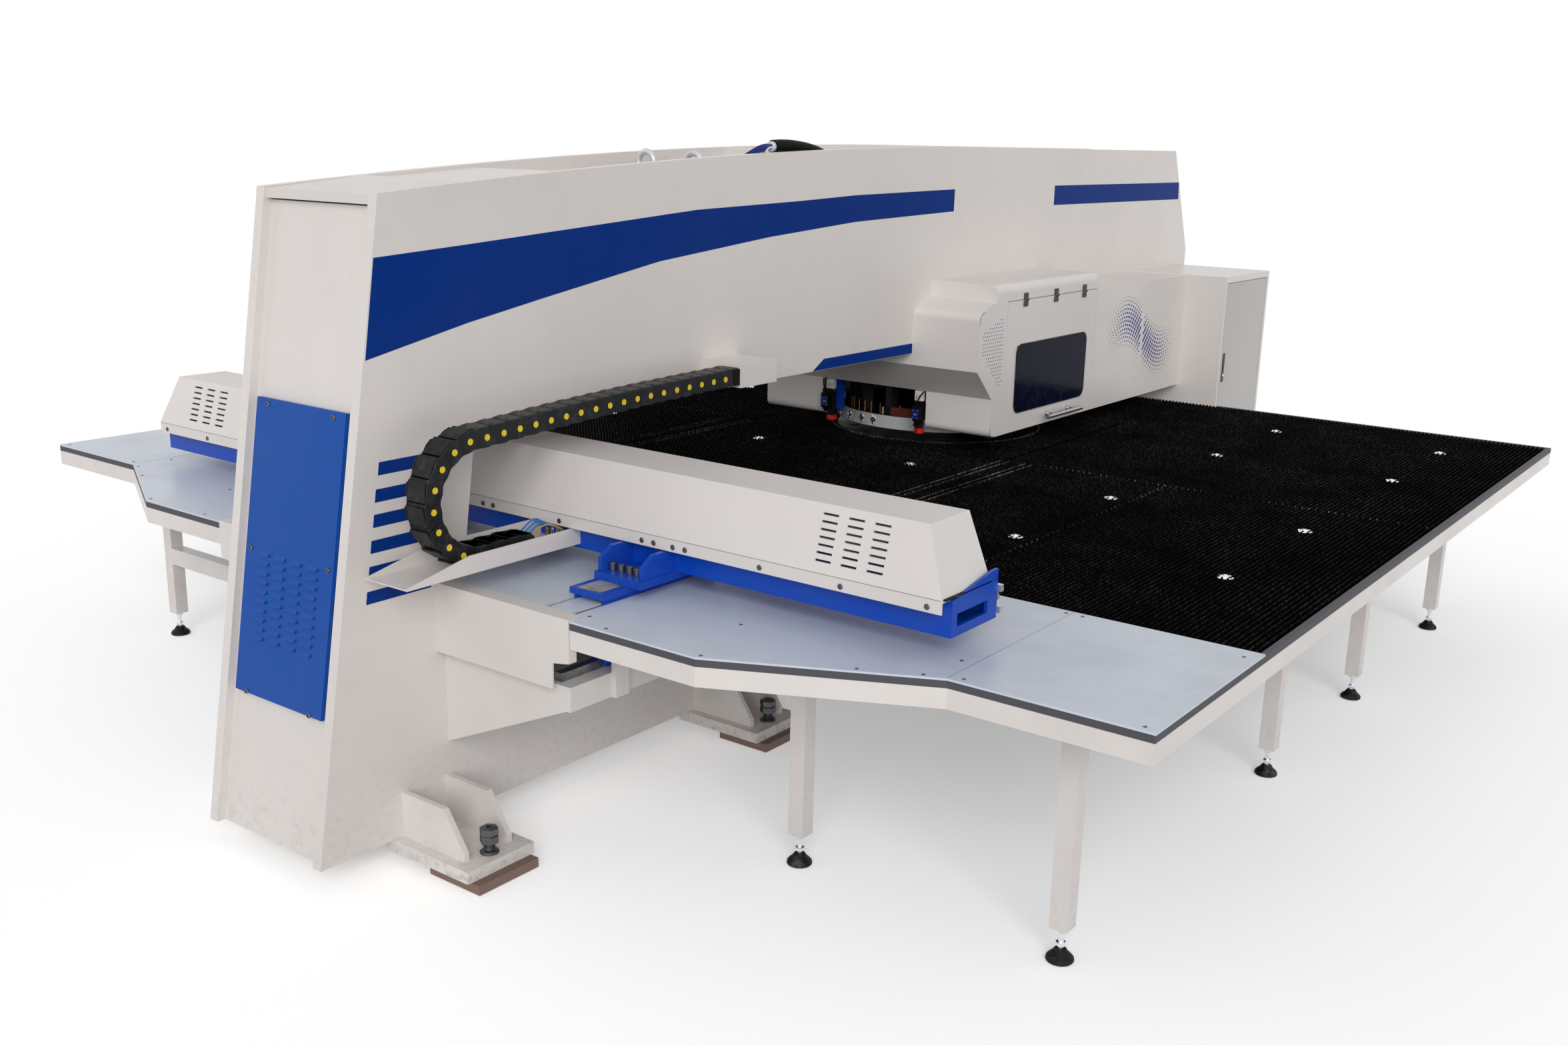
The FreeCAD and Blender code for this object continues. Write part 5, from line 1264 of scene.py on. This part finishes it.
class PRESS_OT_cover_fittings(bpy.types.Operator):
    """Fits the turret covers with windows, seals, hinges, pull bars and dots"""

    bl_idname = "press.cover_fittings"
    bl_label = "Cover fittings"

    def execute(self, context):
        for side, name in SIDES:
            self.window(flipped(side), name)
            self.bar(flipped(side), name)
        self.hinges()
        self.dots(context.scene.press_sizes.film)
        return {"FINISHED"}

    def window(self, flip, name):
        """Dark pane with rounded corners in a thin rubber seal."""
        seal = rounded_pane("seal", DOOR_SIDE - 0.001, 0.0018, (0.443, 1.063), (1.170, 1.388), 0.045)
        pane = rounded_pane("pane", DOOR_SIDE - 0.001, 0.0026, (0.447, 1.067), (1.166, 1.384), 0.042)
        whole = joined("window", [painted(seal, "rubber"), painted(pane, "window_glass")])
        whole = copies("cover_window_" + name, whole, [flip])
        mount(whole, "cover_door_" + name, stands_for=["cover_window_" + name])

    def bar(self, flip, name):
        """Pull bar on two flanged posts."""
        x, z = HOOD_SIDE + 0.046, 1.020
        parts = [rod("bar", (x, 0.716, z), (x, 1.079, z), 0.011, 24)]
        for y in (0.790, 1.005):
            parts.append(rod("post", (DOOR_SIDE - 0.001, y, z), (x, y, z), 0.008, 16))
            flange = turned("flange", [(0.016, 0), (0.016, 0.004), (0.012, 0.008), (0.0085, 0.012)], 20)
            parts.append(placed(flange, moved(DOOR_SIDE, y, z) @ FACE_OUT))
        whole = copies("cover_handle_" + name, joined("bar", parts), [flip])
        mount(whole, "cover_door_" + name, "bar_steel", ["cover_handle_" + name])

    def hinges(self):
        """Black leaf hinges over the doors' top joint: the upper leaf on the cover, the lower one on its door."""
        row = [moved(0, y) for y in (0.507, 0.811, 1.112)]
        knuckle = rod("knuckle", (DOOR_SIDE + 0.003, -0.017, 1.5915), (DOOR_SIDE + 0.003, 0.017, 1.5915), 0.0055, 14)
        fixed = copies("fixed", joined("fixed", [knuckle, self.leaf(1.5945, 1.622, 1.612, 0.001)]), row)
        mount(both_sides("cover_hinges", fixed), "frame", "black_plastic", ["cover_hinges"])
        for side, name in SIDES:
            places = [flipped(side) @ place for place in row]
            leaves = copies("hinge_leaves_" + name, self.leaf(1.560, 1.586, 1.570, 0.002), places)
            mount(leaves, "cover_door_" + name, "black_plastic")

    def leaf(self, low, high, screw_line, proud):
        """One leaf of a hinge with its two screws."""
        parts = [block("leaf", (HOOD_SIDE - 0.001, -0.019, low), (DOOR_SIDE + proud, 0.019, high), 0.001)]
        for y in (-0.011, 0.011):
            parts.append(placed(screw("head", 0.0042, 0.0016, 8), moved(DOOR_SIDE + proud, y, screw_line) @ FACE_OUT))
        return joined("leaf", parts)

    def dots(self, film):
        """A field of even dots beside the door, and a lens of graded dots on the rear panel."""
        dot = placed(turned("dot", [(1, 0), (1, film)], 8), FACE_OUT)
        spots = []
        pitch, even_dot, rear_edge = 0.019, 0.0031, 0.319
        for row in range(20):
            for column in range(13):
                y = 0.130 + pitch * (column + 0.5 * (row % 2))
                z = 1.218 + pitch * 0.87 * row
                low_edge = 1.374 - (y - 0.128) * 1.04
                high_edge = 1.467 + (y - 0.133) * 0.34
                if low_edge <= z <= high_edge and y <= rear_edge:
                    spots.append((y, z, even_dot))
        middle, half_long, seam_room, largest, smallest = 1.850, 0.470, 0.02, 0.0096, 0.0012
        rows, columns = 15, 42
        for row in range(rows):
            up = row - rows // 2
            for column in range(columns):
                y = 1.392 + 0.024 * (column + 0.5 * (row % 2))
                z = 1.300 + 0.021 * up + 0.10 * math.sin((y - 1.390) * 6.6)
                across = abs(up) / (rows / 2)
                lengthwise = abs(y - middle) / half_long
                size = largest * (1 - across**2) * (1 - lengthwise**2)
                if size > smallest and abs(y - middle) > seam_room:
                    spots.append((y, z, size))
        places = [
            moved(HOOD_SIDE, y, z) @ Matrix.Scale(size, 4, (0, 1, 0)) @ Matrix.Scale(size, 4, (0, 0, 1))
            for y, z, size in spots
        ]
        field = copies("dots", dot, places)
        mount(both_sides("cover_dots", field), "frame", "dot_print")


class PRESS_OT_cabinet_fittings(bpy.types.Operator):
    """Fits the cabinet's swing handle and its plate"""

    bl_idname = "press.cabinet_fittings"
    bl_label = "Cabinet fittings"

    def execute(self, context):
        low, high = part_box("cabinet_handle")
        corners = (low.y - 0.007, 1.010), (high.y + 0.007, 1.174)
        plate = rounded_pane("plate", CABINET_SIDE - 0.001, 0.0022, *corners, 0.010, 3)
        mount(plate, "cabinet_door", "black_plastic")
        lever = rounded_pane("lever", CABINET_SIDE - 0.0015, 0.005, (low.y, low.z), (high.y, high.z - 0.012), 0.008, 3)
        lever = soften(lever, 0.0015, 2)
        lock = turned("lock", [(0.008, 0), (0.008, 0.003), (0.0065, 0.004), (0.002, 0.004), (0.0018, 0.002)], 16)
        lock = placed(lock, moved(CABINET_SIDE + 0.0015, (low.y + high.y) / 2, 1.050) @ FACE_OUT)
        whole = joined("cabinet_lever", [painted(lever, "black_plastic"), painted(lock, "chrome")])
        mount(whole, "cabinet_handle", stands_for=["cabinet_handle"])
        return {"FINISHED"}


class PRESS_OT_top_services(bpy.types.Operator):
    """Lays the black hose, its loom and wires in the top trough, and fits the lifting eyes"""

    bl_idname = "press.top_services"
    bl_label = "Top services"

    def execute(self, context):
        x = 0.200
        along_y = (-0.862, -0.800, -0.734, -0.610, -0.490, -0.400, -0.345, -0.330)
        heights = (2.2540, 2.2590, 2.2560, 2.2450, 2.2140, 2.1650, 2.0950, 2.0040)
        thick = painted(hose("thick", [(x, y, z) for y, z in zip(along_y, heights)], 0.0265, 5), "hose_black")
        sleeve = rod("sleeve", (x, -0.880, 2.2535), (x, -0.822, 2.2575), 0.0205, 20)
        loom_route = ((0.060, -1.150, 2.002), (0.060, -1.150, 2.080), (0.066, -1.142, 2.130), (0.080, -1.120, 2.160))
        loom = painted(hose("loom", loom_route, 0.0240, 5), "hose_black")
        parts = [thick, painted(sleeve, "sleeve_plastic"), loom]
        for index, shift in enumerate((-0.010, 0.0, 0.010)):
            dip = 0.006 * index
            route = [(x + shift, -0.872, 2.260), (x + shift, -0.915, 2.262 - dip), (x + shift, -0.985, 2.236 - dip)]
            route += [(x - 0.040 + shift, -1.060, 2.185), (0.082 + shift, -1.112, 2.150)]
            parts.append(painted(hose("blue_wire", route, 0.0055), "sensor_plastic"))
        for index, (shift, finish) in enumerate(((-0.008, "wire_pale"), (0.003, "clear_tube"), (0.012, "wire_pale"))):
            along_y = (-0.872, -0.904 - 0.004 * index, -0.922, -0.922, -0.900)
            route = [(x + shift, y, z) for y, z in zip(along_y, (2.252, 2.254, 2.232, 2.170, 2.004))]
            parts.append(painted(hose("pale_wire", route, 0.0050), finish))
        mount(joined("top_conduit", parts), "frame", stands_for=["top_conduit"])
        clear()
        upright = (math.radians(90), 0, 0)
        bpy.ops.mesh.primitive_torus_add(
            major_segments=28, minor_segments=12, major_radius=0.040, minor_radius=0.012, rotation=upright
        )
        eye = settle("eye")
        eye.location = (0, 0, 2.186)
        bpy.ops.object.transform_apply(location=True)
        eye = smooth(eye, 60)
        low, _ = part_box("lifting_eyes")
        rings = [(0.012, low.z), (0.012, 2.128), (0.026, 2.132), (0.026, 2.142), (0.014, 2.152), (0.012, 2.158)]
        collar = turned("collar", rings, 20)
        pair = copies("lifting_eyes", joined("eye", [eye, collar]), [moved(-0.120, -1.250), moved(0.120, -1.250)])
        mount(pair, "frame", "eye_steel", ["lifting_eyes"])
        return {"FINISHED"}


def rolled(name, centre, radius, start, end, side, width, tail=0.012):
    """A strip bent round an edge along X, laid half a millimetre proud of the sheet; angles are about X from +Y."""
    outer, inner = radius + 0.0005, radius - 0.0035
    y, z = centre
    way = 1 if end > start else -1
    steps = 8

    def spot(angle, reach, along_tail=0.0):
        return (
            y + reach * math.cos(angle) - way * along_tail * math.sin(angle),
            z + reach * math.sin(angle) + way * along_tail * math.cos(angle),
        )

    turns = [start + (end - start) * step / steps for step in range(steps + 1)]
    outline = [spot(start, outer, -tail)] + [spot(turn, outer) for turn in turns] + [spot(end, outer, tail)]
    outline += [spot(end, inner, tail)] + [spot(turn, inner) for turn in reversed(turns)] + [spot(start, inner, -tail)]
    return smooth(cut_plate(name, outline, side, width), 30)


class PRESS_OT_sheet_edges(bpy.types.Operator):
    """Lays the long front lid between the side plates and rolls the front edges of the turret covers"""

    bl_idname = "press.sheet_edges"
    bl_label = "Lid and rolled edges"

    def execute(self, context):
        plate, covers = frame["nodes"]["side_plate_right"], frame["nodes"]["top_covers"]
        plate_middle, sunk, slope, rear, thick = 0.274, 0.010, 0.161, -1.450, 0.004
        stations = (-2.866, -2.740, -2.600, -2.450, -2.250, -2.030)
        crest = [(y, self.top(plate, plate_middle, y) - sunk) for y in stations]
        y, z = crest[-1]
        end = z - slope * (rear - y)
        floor = self.top(covers, 0.0, rear)
        outline = crest + [(rear, end), (rear, floor), (rear - thick, floor), (rear - thick, end - thick)]
        outline += [(y, z - thick) for y, z in reversed(crest)]
        left, width = -0.2535, 0.507
        mount(cut_plate("front_lid", outline, left, width), "frame", "frame_coat")
        side, width = FRAME_SIDE + 0.0005, HOOD_SIDE - FRAME_SIDE - 0.0005
        nose = rolled("nose", (0.133, 1.5208), 0.040, math.radians(180), math.radians(109.7), side, width)
        lip = rolled("lip", (0.268, 1.010), 0.032, math.radians(180), math.radians(270), side, width)
        mount(both_sides("cover_edges", nose, lip), "frame", "white_coat")
        return {"FINISHED"}

    def top(self, part, x, y):
        """Height of a CAD part's top over a point."""
        hit, place, _, _ = part.ray_cast(Vector((x, y, ABOVE_ALL)), Vector((0, 0, -1)))
        if not hit:
            raise RuntimeError("nothing lies under the lid's edge")
        return place.z


class PRESS_OT_air_lines(bpy.types.Operator):
    """Runs the air tubes from the energy chain to their fittings on the beam"""

    bl_idname = "press.air_lines"
    bl_label = "Air lines"

    def execute(self, context):
        radius = context.scene.press_sizes.hose_radius
        parts = []
        for index, x in enumerate((0.394, 0.412, 0.430, 0.446)):
            top = 1.058 - 0.004 * index
            end = -2.322 + 0.006 * index
            route = [(x, -2.470, 1.006), (x, -2.430, 1.020), (x, -2.395, top), (x + 0.006, -2.355, top)]
            tube = hose("tube", route + [(x + 0.010, end, 1.015)], radius)
            parts.append(painted(tube, "hose_plastic" if index < 3 else "clear_tube"))
            rings = [(0.008, 0), (0.008, 0.018), (0.0065, 0.020), (0.0065, 0.034), (0.0055, 0.040)]
            fitting = turned("fitting", rings, 12, (x + 0.010, end, 0.978))
            parts.append(painted(fitting, "chrome" if index else "brass"))
        manifold = block("manifold", (0.392, -2.334, 0.968), (0.462, -2.292, 0.984), 0.002, 2)
        parts.append(painted(manifold, "black_plastic"))
        mount(joined("air_tubes", parts), "y_carriage", stands_for=["air_tubes"])
        return {"FINISHED"}


class PRESS_OT_studio(bpy.types.Operator):
    """Sets the pale floor, the soft light and the camera"""

    bl_idname = "press.studio"
    bl_label = "Studio"

    def execute(self, context):
        scene = context.scene
        clear()
        bpy.ops.mesh.primitive_plane_add(size=120, location=(0, 0, -0.002))
        floor = settle("studio_floor")
        bpy.ops.object.mode_set(mode="EDIT")
        bpy.ops.mesh.subdivide(number_cuts=3)
        bpy.ops.object.mode_set(mode="OBJECT")
        floor.data.materials.append(self.floor_paint())
        self.sky(scene)
        self.sun("key_light", (math.radians(66), 0, math.radians(40)), 1.75, 40)
        self.sun("fill_light", (math.radians(64), 0, math.radians(-70)), 0.30, 60)
        eye = bpy.data.cameras.new("studio_camera")
        eye.sensor_width, eye.lens, eye.clip_end = 36, 34.374, 200
        camera = bpy.data.objects.new("studio_camera", eye)
        camera.location = (3.91194, -5.71833, 2.29410)
        camera.rotation_euler = [math.radians(value) for value in (75.53752, -1.26712, 36.97520)]
        scene.collection.objects.link(camera)
        scene.camera = camera
        scene.view_settings.view_transform = "Standard"
        return {"FINISHED"}

    def floor_paint(self):
        """Pale floor that shows almost white to the camera and keeps the shadow."""
        made = bpy.data.materials.new("floor_paint")
        made.use_nodes = True
        tree = made.node_tree
        skin = tree.nodes["Principled BSDF"]
        seen = self.seen(tree)
        cloud = noise(tree, node(tree, "ShaderNodeTexCoord").outputs["Object"], 0.7, 3.0)
        darker, paler, glow = 0.76, 0.80, 0.30
        grey = spread(tree, cloud, 0.0, 1.0, darker, paler)
        tree.links.new(blend_colour(tree, seen, grey, (1, 1, 1, 1)), skin.inputs["Base Color"])
        skin.inputs["Roughness"].default_value = 0.9
        skin.inputs["Specular IOR Level"].default_value = 0.0
        skin.inputs["Emission Color"].default_value = (1, 1, 1, 1)
        tree.links.new(calculate(tree, "MULTIPLY", seen, glow), skin.inputs["Emission Strength"])
        return made

    def seen(self, tree):
        """One for a ray from the camera, a mirror or glass."""
        path = node(tree, "ShaderNodeLightPath")
        first = calculate(tree, "MAXIMUM", path.outputs["Is Camera Ray"], path.outputs["Is Glossy Ray"])
        return calculate(tree, "MAXIMUM", first, path.outputs["Is Transmission Ray"])

    def sky(self, scene):
        """Even light all round, white where it is seen."""
        world = scene.world or bpy.data.worlds.new("studio_sky")
        scene.world = world
        world.use_nodes = True
        tree = world.node_tree
        back = tree.nodes["Background"]
        back.inputs["Color"].default_value = (1, 1, 1, 1)
        even, seen_more = 0.44, 0.56
        tree.links.new(calculate(tree, "MULTIPLY_ADD", self.seen(tree), seen_more, even), back.inputs["Strength"])

    def sun(self, name, turn, strength, spread_degrees):
        """A soft far lamp."""
        lamp = bpy.data.lights.new(name, "SUN")
        lamp.energy, lamp.angle = strength, math.radians(spread_degrees)
        thing = bpy.data.objects.new(name, lamp)
        thing.rotation_euler = turn
        bpy.context.scene.collection.objects.link(thing)


PIECES = (
    PRESS_OT_cad_finishes,
    PRESS_OT_stripes,
    PRESS_OT_brush_table,
    PRESS_OT_table_balls,
    PRESS_OT_energy_chain,
    PRESS_OT_beam_fittings,
    PRESS_OT_saddle_bolts,
    PRESS_OT_levelling_bolts,
    PRESS_OT_table_feet,
    PRESS_OT_sheet_screws,
    PRESS_OT_turret_fittings,
    PRESS_OT_cover_fittings,
    PRESS_OT_cabinet_fittings,
    PRESS_OT_top_services,
    PRESS_OT_sheet_edges,
    PRESS_OT_air_lines,
    PRESS_OT_studio,
)


class PRESS_PT_sidebar(bpy.types.Panel):
    """Lists the pieces of the press"""

    bl_label = "Punch press"
    bl_idname = "PRESS_PT_sidebar"
    bl_space_type = "VIEW_3D"
    bl_region_type = "UI"
    bl_category = "Punch press"

    def draw(self, context):
        for piece in PIECES:
            self.layout.operator(piece.bl_idname)


CLASSES = (PressColours, PressSizes, *PIECES, PRESS_PT_sidebar)


def register():
    """Registers the settings, the pieces and the panel."""
    for kind in CLASSES:
        bpy.utils.register_class(kind)
    bpy.types.Scene.press_colours = bpy.props.PointerProperty(type=PressColours)
    bpy.types.Scene.press_sizes = bpy.props.PointerProperty(type=PressSizes)


def unregister():
    """Takes them away again."""
    del bpy.types.Scene.press_sizes
    del bpy.types.Scene.press_colours
    for kind in reversed(CLASSES):
        bpy.utils.unregister_class(kind)


def main():
    """Builds every piece in order."""
    register()
    for piece in PIECES:
        group, step = piece.bl_idname.split(".")
        getattr(getattr(bpy.ops, group), step)()


if __name__ == "__main__":
    main()
